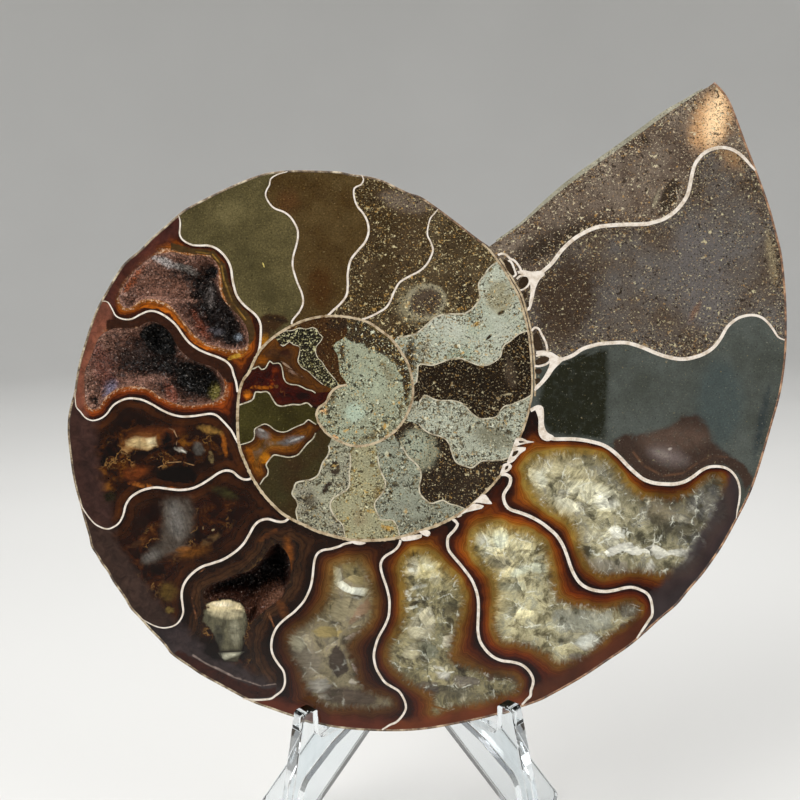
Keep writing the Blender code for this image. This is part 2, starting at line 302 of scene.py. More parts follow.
# each septum: width at the wall, width at the venter, and its line
septa = {
    "s01": (0.9, 0.7, 38.3,23.9, 40.4,25.8, 42.4,28.4, 44.5,30.4, 46.5,31.7, 48.6,32.7, 50.6,33.2,
        54.7,33.5, 58.8,33.6, 60.9,34, 62.9,34.7, 65,36.1, 66.6,37.9, 67.6,39.7, 68.1,41.8, 68.5,43.8,
        69.1,45.7, 70.3,47.3, 71.9,48.4, 73.8,48.9, 75.6,48.8, 77.3,48.1, 78.9,46.8, 80.2,45.3,
        81.1,44.4),
    "s02": (0.85, 0.5, 41.2,6.1, 42.4,6.5, 44.5,7.3, 46.5,8.6, 48.6,9.3, 50.6,9.7, 54.7,9.9, 56.8,9.5,
        58.8,8.8, 60.9,7.9, 62.9,7.2, 65,6.7, 67,6.6, 69.1,7, 71.1,7.8, 72.8,9, 74.2,10.8, 75.4,12.9,
        76.9,14.3, 78.5,15.1, 80.4,15.4, 82.2,15, 83.6,13.9, 84.7,12.5, 85.7,11, 87,10.4),
    "s03": (0.85, 0.4, 36.1,-3.7, 37.2,-3.2, 38,-3.3, 38.3,-4.3, 38.3,-6, 38.5,-7.6, 39.3,-8.8,
        40.6,-9.35, 42.4,-9.4, 44.5,-9.4, 46.5,-9.6, 48.6,-10, 50.6,-10.6, 52.3,-11.6, 53.9,-13,
        55.5,-14.7, 57.2,-16.3, 58.8,-17.5, 60.9,-18.2, 62.9,-18.4, 65,-18.4, 67,-17.9, 68.7,-16.9,
        70.3,-15.7, 71.9,-15, 73.8,-14.9, 75.4,-15.3, 76.7,-16.3, 77.6,-17.8, 78,-19.6, 77.9,-21.7,
        77.5,-23.7, 77.3,-25.3),
    "s04": (0.8, 0.6, 30.2,-16.5, 31.2,-16.5, 32.1,-17.2, 31.9,-18.6, 31,-20, 30.7,-21, 31.1,-22.5,
        32.1,-23.5, 34.2,-24.2, 36.2,-25, 38.2,-26.1, 39.9,-27.4, 41.4,-28.8, 42.6,-30.7, 43.4,-32.7,
        44.1,-34.8, 44.9,-36.6, 46.1,-38.3, 47.7,-39.3, 49.6,-39.8, 51.4,-39.9, 53.3,-39.6, 54.9,-39.2,
        56.6,-39.1, 58.4,-39.7, 59.6,-40.5, 60.3,-42, 60.5,-44.4, 59.8,-45.7, 58.6,-47.5, 57.4,-49.3),
    "s05": (0.75, 0.7, 20.4,-25.3, 21.5,-26.4, 20.8,-27.7, 19.7,-28.9, 19.5,-30.2, 19.7,-31.5,
        20.5,-32.7, 21.8,-34.2, 23,-35.7, 24.3,-37.5, 25.1,-39.3, 25.6,-41.2, 25.7,-43.4, 25.6,-46,
        25.6,-47.9, 26,-49.8, 26.9,-51.3, 28,-52.5, 29.2,-53.3, 30.6,-53.8, 32.3,-54, 33.9,-54.4,
        35.1,-55.1, 36,-56.1, 36.6,-57.3, 36.6,-58.5, 36.2,-59.7, 36.1,-60.8, 35.4,-61.5, 34.4,-62.6),
    "s06": (0.7, 0.6, 10.1,-29.6, 9.9,-30.4, 9.4,-31.2, 8.6,-31.9, 7.4,-32.6, 6.6,-33.3, 6.15,-34.3,
        6.2,-35.5, 6.6,-37, 7.3,-39, 7.8,-41.1, 7.9,-42.9, 7.7,-44.9, 7,-46.7, 6.1,-48.3, 5.4,-49.8,
        4.85,-51.9, 4.8,-53.4, 5.2,-55.2, 6,-56.7, 7,-58.1, 8.4,-59, 9.7,-59.8, 10.5,-60.9, 11.1,-62.3,
        11.1,-63.6, 10.3,-65, 9.2,-66.1, 8,-66.6, 6.4,-67.6),
    "s07": (0.7, 0.6, 0.6,-30, -1.1,-30.4, -2.2,-30.9, -3.9,-31.4, -5.3,-31.6, -6.4,-32.2, -7,-33.3,
        -7.3,-35, -7.5,-37, -7.9,-39, -8.6,-40.7, -9.5,-42.2, -11.3,-44.1, -13,-45.4, -14.5,-46.9,
        -15.3,-48.4, -15.7,-49.9, -15.7,-51.6, -15.2,-53.1, -14.2,-54.6, -13.3,-55.9, -13,-57.6,
        -13.2,-58.9, -13.8,-59.9, -15,-60.8, -16,-61.4, -18.7,-61.6, -21.5,-61.4),
    "s08": (0.75, 0.3, -12.2,-25.2, -12.9,-25.8, -13.9,-26, -15,-25.8, -16.5,-25.4, -18.1,-25.8,
        -19.2,-26.8, -20.1,-28.4, -21.1,-30.1, -22.4,-31.5, -24,-32.7, -25.6,-33.6, -27.6,-34.3,
        -29.5,-34.9, -31.1,-35.9, -32.5,-37.3, -33.4,-38.9, -33.7,-40.7, -33.5,-42.6, -33.4,-44.2,
        -34.1,-45.8, -35.3,-46.8, -37.2,-47.2, -38.8,-46.9, -40.5,-46.1, -42.2,-45),
    "s09": (0.7, 0.3, -19.5,-16.9, -20,-17.4, -21.2,-17.5, -22.4,-16.9, -23.4,-16, -24.8,-15.7,
        -26.3,-16.2, -27.9,-17.3, -29.8,-18.5, -31.7,-19.3, -34,-19.6, -36.2,-19.4, -38.8,-19.1,
        -40.7,-19.4, -42.3,-20, -43.9,-21.1, -44.9,-22.7, -45.35,-24.5, -46.15,-26.1, -47.3,-27,
        -48.7,-27.4, -50.6,-26.7, -51.9,-25.5, -53.2,-23.7, -54.3,-21.6),
    "s10": (0.65, 0.3, -22.4,-10.2, -22.9,-9.3, -23.7,-7.8, -24.7,-6.6, -25.6,-5.65, -26.6,-4.75,
        -27.9,-4.35, -29.8,-4.6, -31.7,-4.85, -33.65,-4.9, -35.6,-4.5, -37.5,-3.7, -39.4,-2.6, -41,-1.8,
        -42.6,-1.35, -44.55,-1.3, -46.3,-1.95, -47.6,-2.9, -48.7,-4.4, -50,-5.35, -51.6,-5.7, -53,-5.1,
        -53.9,-4, -54.8,-2.9, -55,-1, -55.1,0.3),
    "s11": (0.65, 0.35, -22.5,0, -22.8,2, -23.3,3.5, -23.7,4.9, -24.7,6.05, -26.3,6.9, -28.5,7.7,
        -30.45,8.6, -32.2,9.9, -33.5,11.5, -34.6,13.1, -35.9,14.4, -37.5,15.5, -39.1,16.15, -40.4,16.15,
        -42,15.5, -43.6,14.65, -45.2,14.55, -46.8,15.2, -47.6,16.6, -48.5,18, -49.7,18.2),
    "s12": (0.6, 0.4, -18.3,8, -18,9.6, -17.85,11.8, -17.95,13.7, -18.9,15.4, -21.2,17.4, -22.6,19.2,
        -23.2,21, -23.55,22.7, -23.8,24.6, -24.4,26.2, -25.5,27.7, -26.9,28.8, -28.4,29.3, -30,29.3,
        -31.4,29.4, -32.7,29.9, -33.7,30.7, -34.1,31.7, -34,33, -34,34.2, -34.3,35.3),
    "s13": (0.45, 0.3, -11.7,13.6, -11.6,14.2, -11.1,14.9, -10.2,16, -9.5,17.4, -9.4,18.7, -9.8,20.2,
        -10.5,21.8, -11.1,23.6, -11.5,25.3, -11.35,27.2, -10.8,29.2, -10.45,30.8, -10.5,32.4,
        -11.1,33.8, -12.1,35.2, -13.4,36.1, -15,36.7, -16.1,37.7, -16.9,39.3, -16.7,40.4, -16.1,41.5,
        -15.9,42.6, -14.6,43.5, -12.5,44.1),
    "s14": (0.5, 0.35, -4.6,15.1, -3.4,16.3, -1.8,17.8, -0.7,19.4, -0.45,21.5, -0.45,23.7, 0.1,26.3,
        1.4,28.1, 3,30, 3.7,32, 3.5,34, 2.65,35.7, 1.4,37.3, 0.8,39.2, 0.9,40.8, 2.2,41.5, 2.7,42.5,
        2.3,43.5),
    "s15": (0.45, 0.3, 2.2,14.4, 4.3,15.2, 6.2,16.2, 7.3,17, 8.1,18.3, 8.9,20.2, 10,22, 12,23.2,
        13.9,24.2, 15.3,25.5, 16.1,26.9, 16.6,28.5, 16.1,30.1, 15.5,31.4, 15.6,33, 16.1,34.8, 16.8,35.6,
        17.6,36.6),
    "s16": (0.35, 0.3, 9.4,10.9, 10.3,11, 11.5,11.2, 13.2,11.7, 14.5,12.7, 15.9,14, 17.1,15, 18.2,15.4,
        19.85,15.6, 21.7,15.6, 23.1,15.8, 24.5,16.7, 25.5,17.9, 26,18.8, 25.9,20, 25.7,21.3, 26,22.3,
        26.8,23.2, 27.5,24.4, 28.5,25.4, 29.6,26.2),
    "s17": (0.3, 0.3, 13.3,1.9, 13.55,4.1, 13.6,5.2, 14.1,5.6, 16.4,5.35, 18.2,5.9, 19.85,6.5, 21.7,6.8,
        23.1,6.4, 24.5,5.8, 25.85,5.35, 27.5,5.4, 29.1,6.2, 30.1,7.1, 30.4,8.3, 30.9,9.4, 32.1,10.2,
        33.2,11.2, 34.4,11.9, 35.7,12.2),
    "s18": (0.3, 0.25, 13.9,-2, 14.9,-0.65, 15.9,-1, 17.1,-1.55, 18.5,-1.7, 20.3,-1.7, 21.7,-2,
        22.85,-2.6, 24,-3.9, 25.2,-4.9, 26.3,-5.35, 27.9,-5.25, 29.3,-4.9, 30.1,-3.7, 31,-2.8,
        32.3,-2.5, 33.7,-1.9, 35.1,-1.3, 36.3,-0.5),
    "s19": (0.3, 0.3, 13.8,-6.5, 14.8,-7.5, 16.3,-8.4, 17.9,-8.8, 19.2,-9.5, 19.9,-10.6, 20.4,-12.2,
        21,-13.7, 21.8,-14.4, 23.3,-14.9, 24.4,-15.15, 25.5,-14.4, 26.4,-13.8, 28.1,-13.75, 30.1,-13.6,
        31.9,-13.1),
    "s20": (0.35, 0.25, 10.5,-11, 11.6,-12.9, 13,-14.2, 14,-15.4, 14.2,-16.9, 13.9,-18.5, 13.9,-20,
        14.6,-21.1, 15.9,-22.2, 16.5,-22.3, 17.6,-21.9, 18.7,-21.7, 20,-22.4, 21.3,-22.7, 22.9,-23.3),
    "s21": (0.3, 0.25, 5.5,-12.7, 5.75,-14.4, 6.3,-16.2, 7,-17.7, 7,-19.2, 6.2,-20.6, 5.15,-21.8,
        4.9,-22.9, 5.5,-24.3, 6.1,-25.5, 7.4,-25.6, 8.6,-25.7, 9.5,-27.1, 9.9,-28.8),
    "s22": (0.35, 0.2, 0,-12.3, 0.1,-14.4, -0.15,-16, -0.1,-17.6, -0.2,-18.8, -0.7,-19.6, -2,-20.4,
        -3.4,-21.3, -4,-22.5, -3.7,-23.8, -2.7,-25.4, -1.5,-26.6, -1,-29),
    "s23": (0.35, 0.3, -4.3,-10.7, -4.1,-11.6, -4.5,-12.8, -5.5,-14.2, -5.9,-15.5, -6.5,-16.7,
        -7.8,-17.5, -9.4,-17.8, -10.8,-18.2, -11.2,-19.2, -11.6,-20.4, -10.8,-21.5, -10.4,-22.7,
        -10.8,-23.8, -10.4,-25.9),
    "s24": (0.3, 0.3, -6.9,-8.2, -7.4,-9.3, -8.5,-10.3, -9.5,-11.5, -10.5,-12.6, -12.2,-13.05,
        -13.8,-12.8, -15.2,-12.6, -16.1,-13.5, -16.8,-14.6, -16.4,-15.5, -16.5,-16.6, -17.3,-17.4,
        -18,-18.5),
    "s25": (0.25, 0.25, -6.8,-6.5, -7.7,-5.9, -8.4,-5.55, -9.2,-6.3, -10.4,-6.8, -11.5,-7.3, -12.7,-7.9,
        -13.8,-8, -15,-7.6, -16.2,-6.7, -17.1,-6.4, -18.1,-6.8, -19.1,-7.5, -19.1,-8.7, -19.7,-9.8,
        -22.1,-10.6),
    "s26": (0.3, 0.35, -7.6,-3, -8.5,-2.2, -9.2,-2.3, -10,-2.55, -11.5,-2.5, -12.7,-2.7, -13.65,-2.85,
        -14.6,-2.6, -15.4,-1.6, -16.15,-0.3, -16.9,0.1, -17.9,-0.05, -18.9,0, -19.2,-0.9, -19.7,-1.7,
        -22.2,-2.6),
    "s27": (0.25, 0.3, -6.9,-0.2, -7.7,0.3, -8.65,0.5, -9.6,1, -10.6,1.4, -11.7,1.5, -12.7,1.9,
        -13.3,2.9, -13.5,4.25, -13.85,5.4, -14.4,5.8, -15.4,5.7, -16.05,6.2, -16.4,5.7, -16.9,4.8,
        -17.7,4.5, -18.3,5.1, -19,4.8, -20.1,4.4),
    "s28": (0.22, 0.2, -13.9,9.5, -13.4,9.2, -12.6,9.7, -12.1,10.1, -11.35,9.5, -10.4,9.25, -10,8.7,
        -10.2,7.3, -10.4,6.1, -9.6,4.9, -8.5,4.25, -7.5,3.3, -6.5,2.4, -5.4,1.5),
    "s29": (0.18, 0.18, -6.15,11.6, -5.5,11, -6,10, -6.7,9.2, -6.9,8.1, -6.5,6.9, -5.6,6, -5,5,
        -4.2,3.9, -2.9,2.4),
    "s30": (0.18, 0.18, -14.9,11.6, -14,11.7, -13,12.2, -11.6,12.3, -10.2,12.8, -8.8,12.6, -7.4,12.9,
        -6.6,12.4, -6.15,11.6),
}
# where a chamber closes without a wall that shows
joins = (
    (9.4,10.9, 7.9,10.5), (13.3,1.9, 12.5,1), (13.9,-2, 12.3,-1.7), (13.8,-6.5, 10.6,-5.5),
    (10.5,-11, 8.4,-8.1), (5.5,-12.7, 5,-10), (0,-12.3, 0.2,-10.4), (-4.3,-10.7, -3.5,-8.9),
    (-6.9,-8.2, -5.2,-7.1), (-6.8,-6.5, -6,-6), (-7.6,-3, -6,-3.2), (-6.9,-0.2, -3,0.2),
    (-5.4,1.5, -3.2,0.4), (-2.9,2.4, -1.7,1), (-13.9,9.5, -15.4,11.2), (38.3,23.9, 31,22.6),
    (41.2,6.1, 36,6.6), (-22.5,0, -21.6,0), (26.4,29.7, 25.4,31.4), (0,-12.3, 0.3,-10),
    (-2.9,2.4, -1.2,0.4), (20.5,-25.4, 20.2,-24.8), (0.6,-30, 2.2,-29.2),
)
# the rough edge of the pale mud that fills the first coil
coilEdge = (
    -0.8,15.1, -0.6,13.2, -0.7,11.6, -1.6,10.6, -2.9,9.8, -3.3,8.7, -2.5,7.4, -2.2,5.2, -1.9,3.5,
    -0.9,2.1, -0.6,1.4,
)
# open hollows in three chambers: the outline of each at the face
hollows = {
    "main": (-14.2,-30.3, -12.6,-32.3, -11.9,-34.5, -12,-37.3, -12.8,-39.2, -13.6,-41, -15.8,-42.8,
        -18.6,-45, -20.2,-46.3, -20.9,-44.4, -21.8,-42, -24.5,-41.2, -28,-41.6, -29.4,-41, -28.9,-39.4,
        -27.6,-38.5, -25.2,-37.7, -23,-36.6, -20.7,-36, -18.9,-34.8, -17.2,-32.9, -15.9,-31),
    "upper": (-46.2,19, -46,17.8, -45.3,17, -44.4,16.8, -43.4,17.2, -42.2,18.2, -41,18.6, -39.4,18.6,
        -37.8,18.3, -36.3,17.5, -35.2,16.5, -34.2,15.3, -33.3,14, -32.2,12.7, -31,11.3, -29.8,10.3,
        -28.5,9.6, -26.8,9.2, -25.2,8.7, -23.5,8.5, -21.8,8.6, -20.7,9.2, -20.3,10.3, -20.4,11.8,
        -20.9,13.4, -21.9,14.8, -23,16, -24.3,17.2, -25.4,18.6, -26,20.1, -26.3,21.8, -26.3,23.5,
        -26.4,25, -27,26.2, -27.9,26.9, -29.1,27.2, -30.4,27.4, -32,27.3, -33.8,27.6, -35.5,28,
        -37.3,27.8, -39,27.4, -40.4,26.6, -41.8,25.5, -43.4,24, -44.6,22.4, -45.6,20.7),
    "side": (-42.5,12.8, -41.5,13.6, -40,14.1, -38.3,13.8, -37,12.9, -35.9,11.7, -35.2,10.3, -34.3,8.9,
        -33.2,7.6, -31.8,6.6, -30,5.8, -28,5.2, -26.7,4.4, -25.6,3.1, -25.1,1.6, -25.1,0.2, -25.6,-1,
        -26.8,-1.9, -28.8,-2.4, -31,-2.7, -33.3,-2.7, -35.2,-2.2, -36.8,-1.6, -38.3,-0.8, -39.7,0.3,
        -41,0.8, -42.8,1.2, -44.5,1.1, -46.2,0.8, -47.4,0.2, -48.6,-0.7, -49.4,-1.8, -50.1,-2.9,
        -51,-3.5, -52.1,-3.2, -52.8,-2.2, -53.1,-0.5, -53.1,1.2, -53.2,2.8, -52.9,4.6, -52.2,6.2,
        -51.5,8, -50.8,9.8, -50,11.2, -48.6,12.2, -46.9,12.8, -44.6,12.8),
}


print("chambers")
# A look for each chamber. bands: colour from the wall inward, over reach millimetres
# (or over the whole way to an open hollow). fill: the colours of what lies inside them.
chambers = {
    "chamber_00": dict(seed=(60, 44), kind="grit", ground=("#53453a", "#736659"), bright="#cfc4a0",
        grit="#b3a48c", gold="#a07a40", pore="#2b2119"),
    "chamber_01": dict(seed=(60, 20), kind="grit", ground=("#4f4338", "#5b5652"), bright="#c4b990",
        grit="#93866e", gold="#8a6a3c", pore="#241a12"),
    "chamber_02": dict(seed=(60, 2), kind="mud", ground=("#3d403a", "#4a4e49"), fine=(0.78, 1.24),
        grit="#6a685c", gold="#7a6a44", pore="#1c1c14"),
    "chamber_03": dict(seed=(66, -28), kind="spar", reach=6.5, grain=4.6, small=0.6,
        bands=("#0e0402", "#301104", "#683006", "#74460e", "#84692c"),
        fill=("#4c4838", "#6f6a53", "#948d70", "#706d60", "#aeaa92"), venter="#332b2b", venterWidth=5.0),
    "chamber_04": dict(seed=(38, -50), kind="spar", reach=5.5, grain=4.4, small=0.5,
        bands=("#100502", "#3c1403", "#743306", "#7c480e", "#866a2e"),
        fill=("#5a533c", "#857e60", "#b0a884", "#86846f", "#c4bfa2"), venter="#482210", venterWidth=3.0),
    "chamber_05": dict(seed=(15, -50), kind="spar", reach=4.2, grain=4.4, small=0.35,
        bands=("#100502", "#381403", "#5f2c06", "#6a420e", "#7e6228"),
        fill=("#3c3628", "#625c45", "#8e8562", "#66634e", "#a8a182"), venter="#5c2a10", venterWidth=2.2),
    "chamber_06": dict(seed=(-3, -50), kind="spar", reach=5.0, grain=6.5, small=0.0, glint=0.35,
        clear=0.35, drawn=0.95, layers=(0.5, 1.6),
        bands=("#0e0502", "#2a1004", "#442008", "#50300f", "#60441e"),
        fill=("#4a4336", "#665e4a", "#7c7258", "#6a6252", "#8a8168"), venter="#4d2010", venterWidth=2.2),
    "chamber_07": dict(seed=(-30, -47), kind="spar", reach=5.0, grain=4.0, layers=(0.4, 1.7),
        bands=("#0a0402", "#221006", "#36200f", "#20130a", "#281a0e"),
        fill=("#060201", "#160803", "#2a1208", "#4a280c"), venter="#2c2424", venterWidth=5.2),
    "chamber_08": dict(seed=(-40, -30), kind="spar", reach=4.5, grain=5.0,
        bands=("#0f0402", "#341806", "#281205", "#1c0803", "#1e0a04"),
        fill=("#0b0301", "#1c0802", "#2f1404", "#553010"), venter="#33251f", venterWidth=5.0),
    "chamber_09": dict(seed=(-40, -14), kind="spar", reach=4.0, grain=4.0,
        bands=("#100502", "#3c1c06", "#220e04", "#140602", "#1a0802"),
        fill=("#060201", "#180702", "#361904", "#6b3f0c"), venter="#35221d", venterWidth=5.6),
    "chamber_10": dict(seed=(-43, 0), kind="spar", grain=2.0, hollow="side", layers=(0.4, 1.6),
        bands=("#120503", "#2e0f06", "#6e2c08", "#7c3a0e", "#8a4a1c"), fill=("#7c360c", "#6a2a08"),
        venter="#6b3f30", venterWidth=3.4),
    "chamber_11": dict(seed=(-38, 17.4), kind="spar", grain=2.0, hollow="upper", layers=(0.4, 1.6),
        bands=("#160602", "#3c1604", "#7c3a06", "#7a4412", "#8f6430"), fill=("#823405", "#6a2a08"),
        venter="#40201a", venterWidth=2.8),
    "chamber_12": dict(seed=(-20, 30), kind="mud", ground=("#403920", "#544b2e"), fine=(0.5, 1.55),
        grit="#6a6040", gold="#6e5c30", pore="#242010"),
    "chamber_13": dict(seed=(-5, 30), kind="mud", ground=("#3c2b12", "#4c3c20"), fine=(0.5, 1.55),
        grit="#6c5c38", gold="#775a2c", pore="#241808"),
    "chamber_14": dict(seed=(8, 32), kind="grit", ground=("#362814", "#463724"), bright="#cbbd92",
        grit="#94855f", gold="#96743c", pore="#1c140a"),
    "chamber_15": dict(seed=(20, 27), kind="grit", ground=("#3f3220", "#544732"), bright="#d6caa0",
        grit="#a8976c", gold="#a88040", pore="#1c150a"),
    "chamber_16": dict(seed=(20, 11), kind="marl", ground=("#9ca28f", "#adb0a0"), bright="#dcdcc8",
        grit="#c4bd9c", gold="#b8904a", pore="#2c2418", rust="#6b5834"),
    "chamber_17": dict(seed=(25, 1), kind="grit", ground=("#191006", "#22180c"), bright="#b4a884",
        grit="#7d7058", gold="#7d6032", pore="#0f0904"),
    "chamber_18": dict(seed=(20, -5), kind="marl", ground=("#a8ac9a", "#9a9c8a"), bright="#d8d8c4",
        grit="#bcb798", gold="#ac8a50", pore="#2c2418", rust="#5c5038"),
    "chamber_19": dict(seed=(20, -17), kind="grit", ground=("#21170d", "#30251a"), bright="#c0b48e",
        grit="#8a7d60", gold="#8f6f3c", pore="#100b05"),
    "chamber_20": dict(seed=(11, -20), kind="marl", ground=("#8d927f", "#828474"), bright="#c9cab4",
        grit="#b0ac8e", gold="#a08250", pore="#231d14", rust="#55492f"),
    "chamber_21": dict(seed=(3, -20), kind="marl", ground=("#8f8c70", "#9b9573"), bright="#d4d0ac",
        grit="#bcb388", gold="#b08a3c", pore="#2c2314", rust="#6a5830"),
    "chamber_22": dict(seed=(-2.5, -17), kind="marl", ground=("#93927c", "#858070"), bright="#cccab0",
        grit="#b0a988", gold="#9a7c44", pore="#1c160f", rust="#4a3f2a"),
    "chamber_23": dict(seed=(-12, -16), kind="mud", ground=("#322c15", "#30200d"), fine=(0.6, 1.4),
        grit="#4e4228", gold="#564222", pore="#1c1408"),
    "chamber_24": dict(seed=(-15, -10), kind="spar", reach=2.6, grain=2.4,
        bands=("#1c0c04", "#4a2606", "#6a3c0a", "#5c3e18", "#4a4034"),
        fill=("#2c1a0c", "#6b3c0a", "#6a6058", "#8d867e"), venter="#6a3606"),
    "chamber_25": dict(seed=(-13, -5), kind="mud", ground=("#2b250a", "#3a3515"), fine=(0.6, 1.4),
        grit="#545028", gold="#5c5024", pore="#1c1808"),
    "chamber_26": dict(seed=(-15, 2), kind="spar", reach=2.0, grain=2.6,
        bands=("#200802", "#3a0f02", "#300702", "#2a0501", "#260401"),
        fill=("#0f0201", "#2c0501", "#4a0f02", "#8a3a06"), venter="#5c2404"),
    "chamber_27": dict(seed=(-12, 6), kind="spar", reach=2.0, grain=2.2,
        bands=("#1c0c04", "#4d2a08", "#45260a", "#38200c", "#331c0c"),
        fill=("#1c0b04", "#3a1c0a", "#6b421a", "#8f6a44"), venter="#6a3a08"),
    "chamber_28": dict(seed=(-9, 8), kind="grit", ground=("#120e08", "#241e12"), bright="#cbc69c",
        grit="#a8a27a", gold="#7d7448", pore="#070503", coarse=0.06, cuts=((0.41, 0.43), (0.58, 0.57))),
    "chamber_29": dict(seed=(-4, 10), kind="grit", ground=("#3f260f", "#2f1c0c"), grit="#8a7650",
        gold="#7d5c2a", pore="#120a03", cuts=((0.38, 0.42), (0.68, 0.63))),
    "first_coil": dict(seed=(3, -3), kind="marl", ground=("#99a089", "#8d8f78"),
        cuts=((0.385, 0.49), (0.65, 0.58)), bright="#d6d8c0", grit="#bab48e", gold="#b48a40",
        pore="#231c10", rust="#5c4e2e"),
}
